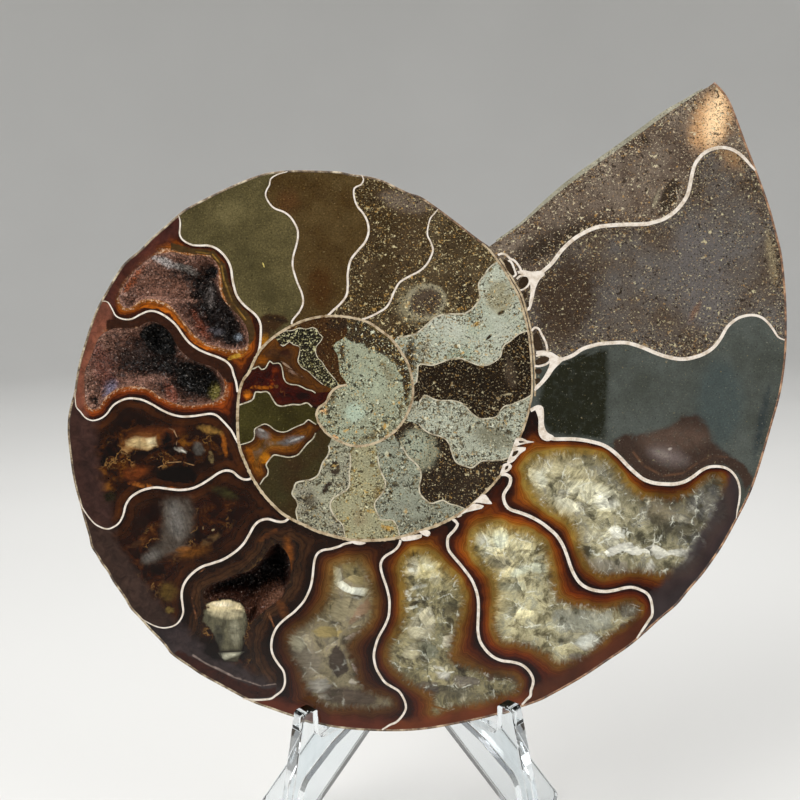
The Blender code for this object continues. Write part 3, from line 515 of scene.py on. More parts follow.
# what shows inside the chambers and hollows, stains and grains and some painted light and shade, in the
# order it is laid down: colour, how soft its edge is in millimetres, the way its fibres run in degrees,
# then the corners of its outline, or the middle, half sizes and turn of an oval
grainsAndPaintedLight = {
    "chamber_00": (
        ("#41362c", 4, 0, 36,28, 8,4, 35), ("#c4976a", 5, 0, 72.4,54.4, 7,10, -25),
        ("#ffd8a8", 4, 0, 73.2,54.8, 3.8,7.6, -8), ("#30261d", 7, 0, 42,30.4, 15,7, 24),
        ("#33291f", 1, 0, 64,39.4, 2.2,4.2, -22), ("#857b66", 0.4, 0, 61.2,38.4, 0.7,4, -18),
        ("#cfc8b2", 0, 0, 65.4,39.8, 0.16,2, 8), ("#2a2018", 1.5, 0, 59,50.6, 1.4,2, 20),
    ),
    "chamber_01": (
        ("#3a2d22", 8, 0, 43,19, 12,14, -20), ("#5d5855", 8, 0, 70,24, 11,17, 8),
        ("#86684a", 5, 0, 76.4,47, 6,5, -40), ("#14100b", 0.3, 0, 54.2,20, 0.35,3.6, -8),
        ("#6b5244", 0.8, 0, 69,16, 1,3, -30), ("#7d7058", 3, 0, 84.4,27, 2,8, 8),
    ),
    # the two blue-grey ovals after its first outline paint a sheen of reflected light on the right of
    # the face
    "chamber_02": (
        ("#1b1c10", 2.2, 0, 35.8,-4, 37.6,4, 42,7.6, 48,9.8, 52.8,10, 53.2,3, 52.8,-4, 52.4,-11,
         46,-10.4, 39,-9.6), ("#3e4644", 5, 0, 74,-2, 8,12, 0), ("#303636", 3, 0, 82.4,-6, 2,10, -12),
        ("#382a22", 1.2, 0, 51.8,-9.4, 55,-7.8, 60,-7.6, 63.4,-6.4, 66.2,-4.2, 69.6,-3.8, 71.8,-5.8,
         72.8,-9.4, 76,-11.8, 79.6,-14.4, 81.6,-17.6, 79,-21, 77.4,-17, 74.6,-15, 71.4,-15.4,
         68.6,-17.4, 65,-18.8, 60.6,-18.6, 57,-16.6, 54,-13.4, 52,-11.8),
        ("#4e3d33", 3, 0, 65,-9.4, 9,4, 4), ("#645854", 3, 30, 63.6,-12.8, 5.6,3, -16),
        ("#786d66", 1.2, 30, 62.4,-12.4, 2.4,1.2, -20), ("#a59a90", 0.2, 30, 64,-11.4, 0.6,0.35, 20),
        ("#8a5e40", 0.1, 0, 56.6,-11.4, 59,-14.4, 62.6,-16.4, 66.4,-16, 69.6,-13.8, 72.6,-12.4,
         75.8,-12.8, 75.8,-13.3, 72.6,-13, 69.8,-14.4, 66.6,-16.6, 62.4,-17.1, 58.6,-15, 56.2,-12),
        ("#241006", 0.8, 0, 54.4,-12.8, 57.4,-15.8, 61,-17.8, 65,-18.2, 68.6,-16.9, 71.6,-15, 74,-14.5,
         76,-15, 76,-15.8, 73.8,-15.2, 71.4,-15.8, 68.4,-17.9, 64.6,-19.2, 60,-18.8, 56,-16.4,
         53.6,-13.6),
    ),
    # its first two soft pale ovals paint light falling on the upper left, and the two soft dark ones
    # after them paint shade on its right
    "chamber_03": (
        ("#bdb289", 5, -50, 44,-16.4, 9,5, -14), ("#b5ad88", 4, -60, 50,-26, 5,6, -30),
        ("#4a443b", 2, 0, 66.6,-25, 8,5.4, -10), ("#55544e", 3, 40, 71.6,-19.6, 4,4, 0),
        ("#ccc7a9", 1, -50, 42.5,-17.2, 48.5,-17.4, 51.8,-18.2, 54.8,-20.6, 54,-22.8, 50,-24, 46,-22,
         43,-20), ("#565557", 1.4, 60, 67,-20.5, 72,-18, 75.2,-19, 75,-23, 73,-27, 70,-26, 66.8,-24),
        ("#dcdbcd", 0.3, 38, 51,-27, 53.4,-26.2, 55.6,-27.6, 55,-29.6, 52.4,-29.8),
        ("#cfcdc0", 0.3, 8, 53,-30.4, 56,-29.8, 58.6,-31.2, 61,-30.2, 63.4,-31.6, 66.6,-31, 70,-32.4,
         66.6,-33.4, 63.8,-32.8, 61.8,-33.8, 59.6,-32.4, 57,-33, 54.6,-32, 51.8,-33.4, 50.4,-32),
        ("#c9c7ba", 0.2, 60, 58.6,-34.6, 60.4,-32.4, 61.6,-35, 60,-37.6),
        ("#c2c0b2", 0.2, 30, 66.4,-32, 68.6,-31, 69.4,-33.4, 67,-35.4),
        ("#665a48", 1.5, 0, 59,-22, 64.5,-21.6, 66,-25, 62,-27.5, 58.5,-26),
        ("#888173", 1, 70, 46.6,-32.4, 51,-33, 56,-33.4, 56,-36.2, 52,-37.2, 48.6,-36.4),
        ("#4a4348", 0.9, 40, 61,-37.8, 66.4,-37.6, 67.4,-39, 64,-42.6, 61,-45, 61,-41),
        ("#4b4c51", 0.9, 45, 66.5,-28.8, 71,-27.5, 72.4,-29.5, 70.5,-33.5, 67.6,-32.8),
        ("#bab69e", 0.7, -70, 40.5,-20, 44,-20.4, 46.2,-22.6, 44.8,-24.8, 42,-25.2, 40.4,-22.6),
        ("#dcdac6", 0.5, 30, 48.5,-20, 50.5,-19.6, 53.2,-21.2, 55.3,-22.5, 53,-24, 50,-24, 48.8,-22.4),
        ("#d0ceb6", 0.8, -40, 34.8,-15.5, 36,-14.6, 38.5,-15.6, 40.2,-17.5, 39.5,-19.3, 37.5,-19.6,
         35.6,-18.6),
        ("#9a9383", 0.8, -60, 36.5,-20, 40,-22.5, 44,-27.5, 46.5,-31.5, 50,-36, 49,-36.8, 45.5,-31.5,
         43,-26.5, 37.5,-22),
    ),
    # its first two soft pale ovals paint light on the upper left, and the soft dark one after them
    # paints shade toward the lower right
    "chamber_04": (
        ("#dccf9e", 5, 20, 29.8,-38, 6.4,10, -14), ("#ccc8a4", 3, 60, 27,-29.4, 4,3.6, 0),
        ("#77756a", 4, 30, 47,-50, 8,4.4, -14),
        ("#898a7e", 0.9, 60, 40.4,-43, 46,-43, 50,-43.6, 53,-43, 52.6,-47.4, 48,-48.4, 42,-48,
         39.8,-45.6),
        ("#c1c4ac", 0.5, 20, 33.4,-34.2, 38,-33.8, 40.6,-34.6, 40,-36.4, 36,-36.6, 32,-38, 31.6,-36.4),
        ("#514c4a", 0.8, 0, 53,-42, 57,-41.4, 59,-42.6, 59,-45, 54,-45.6),
        ("#483d3f", 0.8, 40, 54,-45.8, 58.6,-45.4, 60,-44.2, 58,-48, 55.6,-49.6, 52.6,-49),
        ("#a7a68c", 0.6, -50, 28.8,-37, 32,-38, 35,-37.4, 36,-40, 30,-40.4, 29,-39),
        ("#8a836b", 0.3, 30, 27.6,-32.6, 31.5,-32.4, 33,-34.4, 31.6,-36, 28,-35.6, 26.8,-34.2),
        ("#ccd0b9", 0.2, 80, 28.6,-27.6, 30,-26.6, 31.8,-27.4, 32.2,-29, 31.8,-31, 30,-32.2, 28.6,-31.2,
         28.3,-29.4),
        ("#c2c5bd", 0.3, 10, 46,-48.8, 48.4,-47.8, 50.6,-49.6, 50,-51, 47,-52, 44.6,-50.4),
        ("#e1e3d4", 0.2, 60, 24.7,-28.5, 26,-27.6, 28.2,-29.2, 28,-31.2, 26,-31.5, 24.8,-30),
        ("#68605d", 0.5, 0, 43.5,-52, 46,-52, 47.6,-53.6, 45,-55, 43,-54),
        ("#c6bd95", 0.2, -10, 33,-43, 37.4,-43.6, 36.6,-45.6, 34.6,-45.8, 33,-44.6),
    ),
    # its first soft pale oval paints light on the upper part, and the two soft dark ones after it paint
    # shade lower down
    "chamber_05": (
        ("#b0a474", 4, 0, 16,-36, 5.6,6, -30), ("#4a3e30", 2, 0, 20.4,-43.6, 2.8,2.2, 10),
        ("#6a6450", 3, 0, 13.4,-50.6, 4,4, 0),
        ("#b8b08e", 0.3, 40, 15.4,-36.6, 16.6,-35.2, 18.6,-36.4, 18.2,-38.8, 16.4,-39.4),
        ("#dddfd2", 0.1, 80, 10.2,-39.6, 13,-38.6, 15.4,-38.2, 15.6,-39, 13,-39.8, 10.6,-40.4),
        # a painted shadow under the white bar above it
        ("#4e4638", 0.3, 0, 10.8,-41.2, 14.6,-40, 15,-41.2, 11.4,-42.2),
        ("#d2d4c6", 0.1, 80, 10.4,-43.2, 13.4,-42.4, 13.9,-43.2, 11,-44.2),
        ("#cfd0c2", 0.1, 0, 11.6,-45, 14,-45, 14.4,-45.8, 12,-45.6),
        ("#33241a", 0.3, 0, 20.4,-50, 22,-49.6, 23.8,-51, 22.6,-53.6, 20.6,-52.8),
        ("#43372f", 0.2, 0, 17.6,-46.4, 19,-46.4, 19.8,-47.4, 18.6,-48.4, 17.8,-47.8),
        ("#534a3f", 4, 0, 21,-60, 10,4, -10),
        ("#a6a087", 0.4, -52, 13,-43.8, 16,-42.4, 17.2,-44, 17.4,-48, 15.6,-50, 12,-49.4, 10.6,-47,
         11.8,-45.8), ("#7b7b66", 0.3, 0, 13,-50, 16,-49.6, 18,-50.6, 18.2,-53.4, 15,-54, 13.6,-52),
        ("#bab49a", 0.3, -32, 10.6,-33, 13.4,-32.2, 14.6,-35.6, 13.4,-37.4, 10.6,-37.2),
        ("#5d5551", 0.4, 0, 20.2,-56.4, 26.2,-56.4, 26.6,-58.8, 22,-59.4, 20.4,-58),
        ("#3f3b3f", 0.4, 0, 29.6,-54.6, 33,-55, 35.6,-57, 35.6,-59, 33,-58.6, 31,-57),
        ("#cbc7a6", 0.3, -50, 13.6,-31.6, 16,-32.2, 18.4,-34.2, 17,-36, 14.6,-36, 13.6,-33.6),
        ("#68605a", 0.4, 0, 11.6,-58.6, 14.4,-57.8, 17.4,-58, 18,-60.4, 15.4,-61, 13,-59.8),
        ("#a59e81", 0.2, 30, 9.2,-53.2, 11,-51, 13.4,-50, 14.2,-53, 12.6,-53.8),
        ("#bbb8ac", 0.2, -30, 16.4,-54.6, 18,-54.4, 20.6,-56.2, 20,-58, 17.6,-57.6, 16.4,-56),
        ("#52423e", 0.4, 0, 26,-54.4, 29,-54.2, 29.4,-57.6, 27.4,-58.6),
        ("#ccc6af", 0.3, 50, 18.2,-48.8, 20.4,-47.6, 21.4,-49, 20.4,-51, 19,-52.2, 18.2,-50.4),
    ),
    # its first two soft ovals darken the lower part: painted shade
    "chamber_06": (
        ("#6b6355", 2.4, 0, -9,-54, 5,5, 0), ("#4c4036", 1.6, 0, 0,-61, 7,2.8, -8),
        ("#7a6f4e", 0.5, 20, -2.2,-34.2, 1.2,-33.6, 2.8,-35.6, 3.2,-38.8, 0.8,-39, -1.6,-37.2),
        ("#a3a18f", 1.2, -60, -3.8,-34.4, -1.8,-35.4, -1.4,-37.6, 0.2,-39, 4.2,-39.2, 3,-41, -0.6,-40.4,
         -3.4,-38.4),
        ("#c2c2b2", 0.7, -60, -2.4,-37.2, -0.4,-38.8, 4,-39.2, 2.8,-40.8, -0.6,-40.4, -2.8,-38.8),
        ("#8a8064", 0.4, 20, -4.4,-41.2, 0.8,-40.8, 0,-43.6, -0.8,-46.4, -2.4,-46, -5.6,-45.2),
        ("#75604c", 0.5, 0, 4.4,-40, 4.8,-43.6, 2.8,-45.2, 0,-47.2, -0.8,-46.4, 1.2,-42.8),
        ("#8c7c50", 0.4, 10, -8.4,-47.6, -5.6,-46.4, -2.4,-46.8, -0.8,-48, -2.4,-49.4, -6.4,-49.6),
        ("#9a947c", 0.6, 30, -11.8,-47.8, -8.8,-49.6, -8,-50.4, -10,-52.4, -11.8,-51.8, -12.8,-50),
        ("#362d26", 0.3, 0, -2.6,-49.8, -4.2,-51.6, -4.8,-54.8, -2.4,-58, 0.4,-55.6, -0.9,-52.2),
        ("#a0978c", 0.3, 20, -2,-49.4, 2.8,-47, 3.4,-47.8, -0.4,-50.2),
        ("#a79d96", 0.25, -60, -0.8,-52.8, 1.6,-55, 1.8,-57.4, 0.3,-55.4),
        ("#aaa494", 0.25, 0, -1.2,-58.5, 2.2,-58.8, 0.4,-56.9),
        ("#7a766c", 0.8, 0, -8.8,-57.6, -4.6,-56.8, -3,-58.8, -6,-61, -9,-60),
        ("#b5afa0", 0.3, 20, -7,-60.4, -4.6,-60.2, -3.4,-61.6, -6,-62),
    ),
    "chamber_07": (
        ("#6e3c12", 2, 0, -12.4,-32.4, 1.9,5, 4), ("#4a2810", 1.2, 0, -16.6,-28.8, 3.4,1, 34),
        ("#4a2810", 1.6, 0, -13.2,-44, 1.8,6, 24), ("#8a5c3c", 0.3, 0, -26.4,-33.2, 5.6,0.28, 38),
        ("#7a4c30", 0.3, 0, -31,-44.2, 0.32,3.6, 12), ("#8a5a38", 0.3, 0, -15.6,-46, 0.28,6, 24),
        # below: the near-black oval is painted shadow round and under the crystal block
        ("#5c3018", 0.5, 0, -25,-31.4, 6,0.35, 38), ("#0c0503", 2, 0, -25,-51.6, 6,3.6, 0),
        ("#55513f", 0.9, 80, -29.4,-43.2, -20,-43.4, -20.4,-47.6, -21.4,-51, -22.2,-54.2, -25.4,-54,
         -26.4,-51, -27.8,-48.4, -29.8,-46), ("#7f7b66", 1.2, 80, -23,-48, 1.7,3.2, 4),
        ("#34322a", 0.8, 80, -26.2,-48.6, 1.2,2.4, 10), ("#a3997a", 0.8, -75, -24.8,-44.4, 4,1.3, -4),
        ("#a9a690", 0.2, 10, -26.6,-52.1, -20.9,-51.9, -22.4,-52.9, -25.2,-53.9),
        ("#cdbd94", 0.4, -75, -29.2,-42.6, -28.2,-41.8, -26.7,-41.5, -25,-41.1, -23.2,-41.4,
         -21.5,-42.4, -20.2,-44.4, -23.2,-43.9, -26.7,-44.3, -28.6,-44),
        # a painted highlight along the top of the crystal block
        ("#eee2c4", 0.5, -75, -25.6,-42.5, 2.4,0.7, -2),
        ("#2e130b", 0.7, 0, -35.5,-52.4, -34.2,-51.4, -29.1,-54.2, -23.3,-57.1, -17.6,-59.1,
         -14.6,-58.8, -14.8,-61, -21,-61.6, -29.1,-57.4),
        ("#776860", 0, 0, -31.6,-52.2, -29.1,-53.8, -23.3,-56.7, -17.6,-58.6, -14.6,-58.2, -14.6,-58.6,
         -17.6,-59, -23.5,-57.2, -29.3,-54.3, -31.9,-52.7),
    ),
    "chamber_08": (
        ("#433b33", 6, 60, -37.6,-19.6, -31,-19.6, -29.6,-24, -30,-29, -33,-32.6, -38.5,-35.6, -43,-36,
         -42.8,-32, -39.5,-29, -39,-25.5, -39.4,-22), ("#67625c", 4, 75, -34.8,-25.6, 3,5, 10),
        ("#55504b", 2.4, 60, -39.8,-32.8, 2.8,1.7, 25), ("#1a0a04", 1.6, 0, -42,-26.8, 2.5,3.2, 0),
        ("#3c2412", 1, 0, -42.6,-30.4, 2.4,0.9, 20), ("#5a340e", 3, 0, -31.6,-32.2, 5.4,2.4, 12),
        ("#744616", 1.2, 0, -33.4,-31.4, 1.8,0.8, 10), ("#4e3a16", 2, 0, -36.4,-40, 3,3, 30),
        ("#5c4a22", 1.2, 0, -36.2,-43.6, 1.5,1.2, 0), ("#2e2a12", 2.4, 0, -25,-20.2, 4,2, -20),
        ("#4d3820", 1.6, 0, -28,-29.6, 3,1.4, 30), ("#8a7a5c", 0.2, 0, -27.4,-27.6, 0.5,0.3, 30),
        ("#6e5a40", 0.2, 0, -29.4,-27.2, 0.25,0.6, 0),
    ),
    "chamber_09": (
        ("#4c230a", 3, 0, -38.4,-8, 8,2.6, 4), ("#66401f", 2, 0, -42,-10, 5,2.6, 4),
        ("#b0976a", 0.8, 0, -45.2,-9.6, -43,-8.6, -40.6,-9, -38.6,-8.6, -38.2,-11.2, -40.4,-12,
         -43,-11.4, -45,-11.2), ("#d6c69e", 0.4, 0, -41.2,-9.2, -38.9,-8.9, -38.5,-10.8, -40.4,-11.3),
        ("#8a6a40", 0.6, 0, -44.6,-11.6, 1.7,1, 30),
        ("#070302", 0.6, 0, -38.4,-10.4, -38,-8.4, -36.8,-7.3, -35.5,-7.8, -35,-9.4, -35.6,-10.8,
         -37,-11.2),
        ("#9c8060", 0, 0, -36.4,-7, -35.2,-7.4, -34.4,-9.2, -34.8,-10.8, -34.7,-9.2, -35.4,-7.8,
         -36.4,-7.25), ("#857f74", 0.6, 60, -34,-11.6, 1.8,0.8, -20),
        ("#cfc8ba", 0.1, 0, -33.4,-11.8, 0.7,0.2, -30), ("#46413b", 1.2, 60, -30.4,-11.4, 1.7,2.1, 20),
        ("#7a5a28", 1.4, 30, -28,-7.6, 3.2,1.4, -12), ("#7e440e", 1.2, 0, -25.2,-10.4, 1,3, 10),
        ("#756440", 0.5, 0, -27.8,-13, 0.9,1.6, 10),
        ("#0a0402", 1, 0, -39.2,-15.6, -36.6,-14.4, -33.6,-14.2, -31,-15, -29.8,-17, -31,-18.9,
         -34.4,-18.7, -37.6,-18.3, -39.2,-17.2),
        ("#8a6a46", 0, 0, -38.6,-15, -36.6,-14, -33.6,-13.8, -31,-14.6, -31,-14.85, -33.6,-14.1,
         -36.6,-14.3, -38.6,-15.3), ("#5c2a0c", 2.4, 0, -43,-16.2, 4.4,2.8, 14),
        ("#8c501c", 1, 0, -41.4,-18.7, 3.4,0.8, -8), ("#8a4810", 1, 0, -35.6,-19.3, 3.6,0.5, 0),
        ("#1c1608", 1.4, 0, -48,-21, 2,2, 0),
    ),
    "chamber_10": (
        ("#2c1408", 0.8, 0, -49,14.4, -45,15.4, -40,16.6, -37,15.6, -34,12.6, -31.6,10, -27.4,8.2,
         -23.4,6.4, -22.4,2, -24.6,1.4, -26.6,3.8, -30,5.2, -33.6,7, -36,10, -38,12.2, -41,13, -45,12,
         -49,12),
        ("#9a4a10", 0.8, 0, -45,0.4, -41,0, -38,-1.8, -35,-3, -31,-3.6, -27.6,-3.2, -25.4,-1.8,
         -27,-2.2, -31,-3, -35,-2.4, -38.4,-1, -41,0.6, -45,1),
    ),
    "chamber_11": (
        ("#3e2c14", 1.2, 0, -36,30, -31.6,28.9, -27.4,28.6, -25,26, -24.2,22.4, -22.6,18.4, -19.6,15,
         -18.6,11, -20.3,9, -21.4,13.2, -24,16.6, -25.8,20, -26.2,25, -28,27.2, -33,27.6, -36,28.2),
        ("#a4540c", 0.8, 0, -43.4,16.4, -41,17.6, -37.6,17.2, -35,15.6, -32.4,12, -30,9.6, -26,8.4,
         -28.4,8.2, -31,9.4, -33.4,12, -36,15.2, -38.4,16.6, -41,16.8),
        ("#8c6a2c", 0.3, 0, -31,28.3, -27.6,27.9, -25.6,25.6, -24.9,22.2, -23.4,18, -20.6,14.4,
         -20.9,14.2, -23.7,17.8, -25.3,22, -26,25.4, -27.8,27.5, -31,27.9),
        ("#b08a2c", 1, 0, -22.6,7.2, 2.4,0.8, 20),
    ),
    "chamber_12": (
        ("#33210f", 1.6, 0, -19.4,15.4, -16,16.6, -12.4,16, -11.6,14, -15.6,10, -17.8,8.2, -18.6,11),
        ("#8a5810", 1.2, 0, -17.3,10, 1.4,2.2, -20), ("#180f09", 1, 0, -14.8,14.6, 2.8,0.9, -12),
        ("#c9b868", 0, 0, -17.3,25.4, 0.2,0.8, 20), ("#5e5536", 6, 0, -24,36, 7,6, 30),
    ),
    "chamber_13": (
        ("#482f16", 4, 0, -12.6,38, 5,5, 0), ("#3c250c", 5, 0, -6,21, 6,8, 0),
    ),
    "chamber_14": (
        ("#63564a", 2.5, -30, 11,38, 7,3.6, -15),
    ),
    "chamber_15": (
        ("#787058", 2.4, 0, 14.2,17.6, 6.6,5.2, 20), ("#8d866f", 0.9, 0, 15.2,18, 4.6,4, 20),
        ("#483c30", 0.9, 0, 15.2,18, 3.9,3.3, 20), ("#30261a", 3, 0, 22.8,20, 3.4,5, 0),
        ("#2c2116", 2, 0, 12,11.8, 5,1.4, 15),
    ),
    "chamber_16": (
        ("#2c2116", 2, 0, 11.8,6, 2.6,6.6, -8), ("#7d7866", 3, 0, 15,8.4, 2.4,4, -15),
        ("#8f9a86", 3, 0, 22,7.4, 5,3.6, 10), ("#b0873c", 0.6, 0, 25.4,13.6, 1.6,0.7, 20),
        ("#c08a3c", 0.6, 0, 29.4,18.6, 0.9,1.2, 0), ("#8f8a70", 2.5, 0, 30,19, 4.5,5, 0),
        ("#2a2016", 0, 0, 30.2,15.9, 0.9,0.5, 30), ("#2a2016", 0, 0, 16.6,15, 0.6,0.5, 0),
        ("#2a2016", 0, 0, 27.8,11, 1,0.4, 45),
    ),
    "chamber_17": (
        ("#20160b", 2, 0, 20,1, 7,3, 10), ("#3f3428", 1.5, 0, 32,4, 2,4.5, 10),
    ),
    "chamber_18": (
        ("#74725f", 4, 0, 29,-9, 7,5, -20), ("#221a12", 0.3, 0, 31,-5.6, 0.6,1, 0),
        ("#221a12", 0.3, 0, 31.8,-8.1, 1,0.6, -10), ("#2a2118", 0.3, 0, 25.7,-6.2, 0.7,0.4, 0),
        ("#221a12", 0.3, 0, 26.7,-12.7, 0.7,0.7, 0), ("#221a12", 0.3, 0, 21.4,-13, 0.7,0.7, 0),
        ("#2a2118", 0.3, 0, 23.9,-7.5, 0.4,1, -15),
    ),
    "chamber_19": (
        ("#7d7e69", 2, 0, 13.6,-11.6, 5.4,5.6, 25), ("#959b87", 2, 0, 13,-10.6, 3.4,4, 25),
    ),
    "chamber_20": (
        ("#6b6b5c", 2.5, 0, 13,-26, 6,2.2, 8), ("#2c241a", 0.4, 0, 8,-12.6, 1.2,0.6, -30),
        ("#2c241a", 0.3, 0, 10.4,-14.4, 0.6,0.5, 0), ("#2c241a", 0.4, 0, 8.2,-20, 0.6,1.8, -8),
    ),
    "chamber_21": (
        ("#77694a", 2, 0, 5.6,-20.5, 2,3, 0), ("#a8823c", 0.7, 0, 7.6,-27.2, 1.8,0.9, -15),
        ("#8a7f62", 2.5, 0, 2,-25, 3,3.6, 0),
    ),
    "chamber_22": (
        ("#3a3026", 0.9, 0, -3,-15.3, 1.5,2.2, 0), ("#2c231c", 0.6, 0, -4.6,-19, 1,2.6, -38),
        ("#5c5648", 2.6, 0, -8,-22, 3,4, 0),
    ),
    "chamber_24": (
        ("#6a6460", 1.4, 40, -17.6,-8.4, 2.4,1.6, -20), ("#5f5a58", 1.6, 40, -11.6,-9.6, 3.6,1.6, 15),
        ("#b0aca6", 0.4, 40, -10.6,-9.4, 1.8,0.3, 20), ("#a39c94", 0.4, 40, -17.8,-7.6, 0.9,0.4, -20),
        ("#a8660c", 1.4, 0, -16.8,-13.4, 1.8,2, 10), ("#7a4208", 1, 0, -20,-12.5, 1.2,2.4, 20),
    ),
    "chamber_26": (
        ("#a85c0e", 1.4, 0, -20.6,-0.6, 1.6,1.6, 0), ("#96520c", 1.2, 0, -17.6,0.9, 2.8,0.7, 0),
        ("#140402", 1.4, 0, -9.4,-0.8, 2.4,1.5, 0), ("#5c2004", 1, 0, -15,4.2, 1.2,1.2, 0),
    ),
    "chamber_27": (
        ("#8f7260", 0.9, 20, -11.6,4, 2.6,0.5, -25), ("#7a4208", 1.2, 0, -17.4,6.4, 1.6,1.6, 0),
        ("#2c1206", 1, 0, -13.2,8, 1.6,1, 0), ("#9c8068", 0.6, 20, -12.8,5.4, 1.6,0.3, -35),
    ),
    "chamber_29": (
        ("#2b1e12", 1.6, 0, -2.4,13.6, 3.4,2.2, 0),
    ),
    "first_coil": (
        ("#30251a", 1.6, 0, -1.2,15.2, 2,15.4, 6,13.4, 9,10.6, 11.4,6.5, 12.3,2, 11.6,-3, 10.8,-2,
         10.2,3, 8.4,6.2, 5,7.9, 2.6,9.3, 0.7,9.5, -1.2,11.2, -3.4,11.4, -3,13),
        ("#3a2e20", 1.6, 0, -1.6,7.6, 1.4,3.6, 0), ("#7d7a62", 2.6, 0, 7.4,4, 2.6,5, 35),
        ("#6e6850", 2.4, 0, 5,-8.4, 6,2, 25), ("#3c3020", 1.6, 0, -3.6,-1, 1.6,2.6, 0),
        ("#e3b27c", 0.9, 0, -5.2,-3.9, 1.3,1, -35), ("#d8a26c", 0.6, 0, -2.9,-8.9, 0.9,0.5, -30),
        ("#a3b09c", 2, 0, 1,-4, 3.4,3.4, 0),
    ),
    "upper": (
        ("#7a5646", 3, 0, -38,21, 7,4.6, 0), ("#8f6a5a", 2, 0, -37,18.6, 7,1.6, 0),
        ("#6e3a28", 1.6, 0, -30.6,13.6, 1.6,5, 30), ("#1a1311", 2.4, 0, -26.4,16, 4.4,9, 25),
        ("#5c5450", 1.4, 0, -28.8,19.6, 1.6,3.2, 0), ("#040202", 1.2, 0, -28.2,24.4, 2.2,2, 0),
        ("#4d4a4e", 1, 0, -27.6,12.4, 2.4,1.2, -10), ("#9aa2ac", 0.7, 0, -22.8,11.2, 1.4,1, 0),
        ("#0f0b0a", 1, 0, -24.6,10.8, 1.2,1, 0), ("#a29a96", 1.4, 30, -37.4,26.2, 3.2,1.6, -25),
        ("#77706a", 1.6, 30, -33.4,25, 3.4,1.6, -20), ("#8a4826", 1.2, 0, -43.6,22.4, 1,4.4, -38),
    ),
    "side": (
        ("#6d4438", 3, 0, -50,5, 3.6,7, 12), ("#8a6556", 2.6, 0, -42,2.6, 6.4,2.2, 4),
        ("#706878", 2, 0, -48.4,0.6, 2.4,3, -20), ("#3c2c26", 2, 0, -44,7.6, 6,2.4, 10),
        ("#030201", 1.4, 0, -38.6,10.6, 5,4, -20), ("#0a0806", 2.2, 0, -31.4,3, 6.4,4.8, -25),
        ("#766c34", 1.6, 0, -27.6,0, 2.2,2.6, 10), ("#7d4a3a", 1.4, 0, -36.6,0, 1.6,3.4, 35),
        ("#080504", 0.8, 0, -51.3,-1.6, 0.9,1.2, 0),
    ),
    "main": (
        ("#5c3b2c", 2, 0, -17.4,-42, 5.4,3.4, 32), ("#6e4c3a", 1.4, 0, -15.4,-41.6, 3.4,1.4, 38),
        # near-black ovals: painted shade deep in the open hollow
        ("#020101", 2.4, 0, -16.4,-35.6, 4.6,3.6, 20), ("#060302", 1.4, 0, -24.4,-39, 4,1.4, 15),
    ),
}
# the outline of the pale crystal mass that fills the middle of some chambers
cores = {
    "chamber_03": (34.2,-15.3, 35.5,-13.2, 38.5,-12, 42,-11.4, 46,-11.3, 50,-12, 52.6,-13.8, 54.5,-16,
        56.2,-18.3, 58.5,-20, 61.5,-20.6, 65,-20.6, 67.5,-19.6, 69.5,-18, 71.5,-16.4, 74.5,-16.3,
        75.4,-18, 75.6,-20.5, 76.2,-23, 75.5,-25.5, 73.2,-28.2, 71.6,-31, 69.8,-34.2, 68.3,-36,
        65.5,-36.8, 61,-37.2, 58,-36.6, 55,-36.8, 52,-37.6, 49.5,-37, 47.3,-35.5, 46,-33, 45,-30.5,
        44.3,-28, 43,-26.2, 40.5,-24.8, 38,-23, 36.3,-21, 34.8,-18.5),
    "chamber_04": (23.5,-30.5, 24.2,-28.2, 25.8,-26.8, 28,-26, 30.5,-26, 33,-26.8, 36,-27.6, 38.5,-29,
        39.8,-31, 40.6,-33.5, 41,-36, 41.6,-38.3, 42,-40.6, 44,-41.8, 47,-42, 50,-42.6, 53,-42.2,
        56,-41.5, 58.3,-42.3, 58.6,-44.5, 56.5,-46.5, 54.5,-48, 52.5,-49, 50.5,-51, 48,-53.4, 45,-54.6,
        41,-54.8, 38.8,-53, 36,-51.8, 33,-51, 30.5,-50.8, 28.8,-49, 28.1,-46.5, 28.3,-43.5, 28.6,-40.5,
        28.2,-37.5, 26.5,-35.5, 24.6,-33.4),
    "chamber_05": (10.2,-33, 11.8,-31.6, 14,-31.2, 16.5,-32.2, 18.6,-33.8, 20.8,-35.8, 22.6,-38,
        23.3,-40.5, 23.3,-42.6, 22.8,-45, 21.8,-48, 21.4,-50.5, 20.8,-53.2, 23.5,-54, 26,-55, 28.5,-56,
        31,-56, 33.5,-56.6, 34.5,-58.8, 33,-61, 30,-61.6, 27,-62.8, 23,-63.6, 19,-64.3, 17,-65.8,
        15.8,-64, 16,-61.5, 14,-60, 11.5,-58.8, 9.4,-57, 7.4,-55, 6.8,-52.4, 7.6,-50, 8.9,-48, 10,-45.5,
        10.2,-42, 10,-38.5, 9.8,-35.5),
    "chamber_06": (-4,-34.4, -2.2,-33.4, 0,-33, 2.6,-33.6, 4,-35.5, 4.8,-38, 5.4,-41, 5.4,-44,
        4.4,-46.6, 2.8,-48.3, 0.8,-50, 0.6,-52, 1.8,-54.3, 2.2,-56.6, 3.5,-59, 6.5,-60, 9,-61.2,
        9.2,-63, 7,-64, 3,-64.2, 0,-63.8, -3.5,-64, -6.5,-62.5, -9,-60.4, -10.2,-57.8, -11.2,-55.2,
        -12.5,-53, -13.2,-50.6, -12.8,-48.4, -11,-46.7, -8.6,-45.2, -6.4,-43.2, -5.2,-41, -4.6,-38),
}


def insidePolygon(p, polygon):
    inside = False
    for a, b in zip(polygon, polygon[1:] + polygon[:1]):
        if (a[1] > p[1]) != (b[1] > p[1]):
            if p[0] < (b[0] - a[0]) * (p[1] - a[1]) / (b[1] - a[1]) + a[0]:
                inside = not inside
    return inside


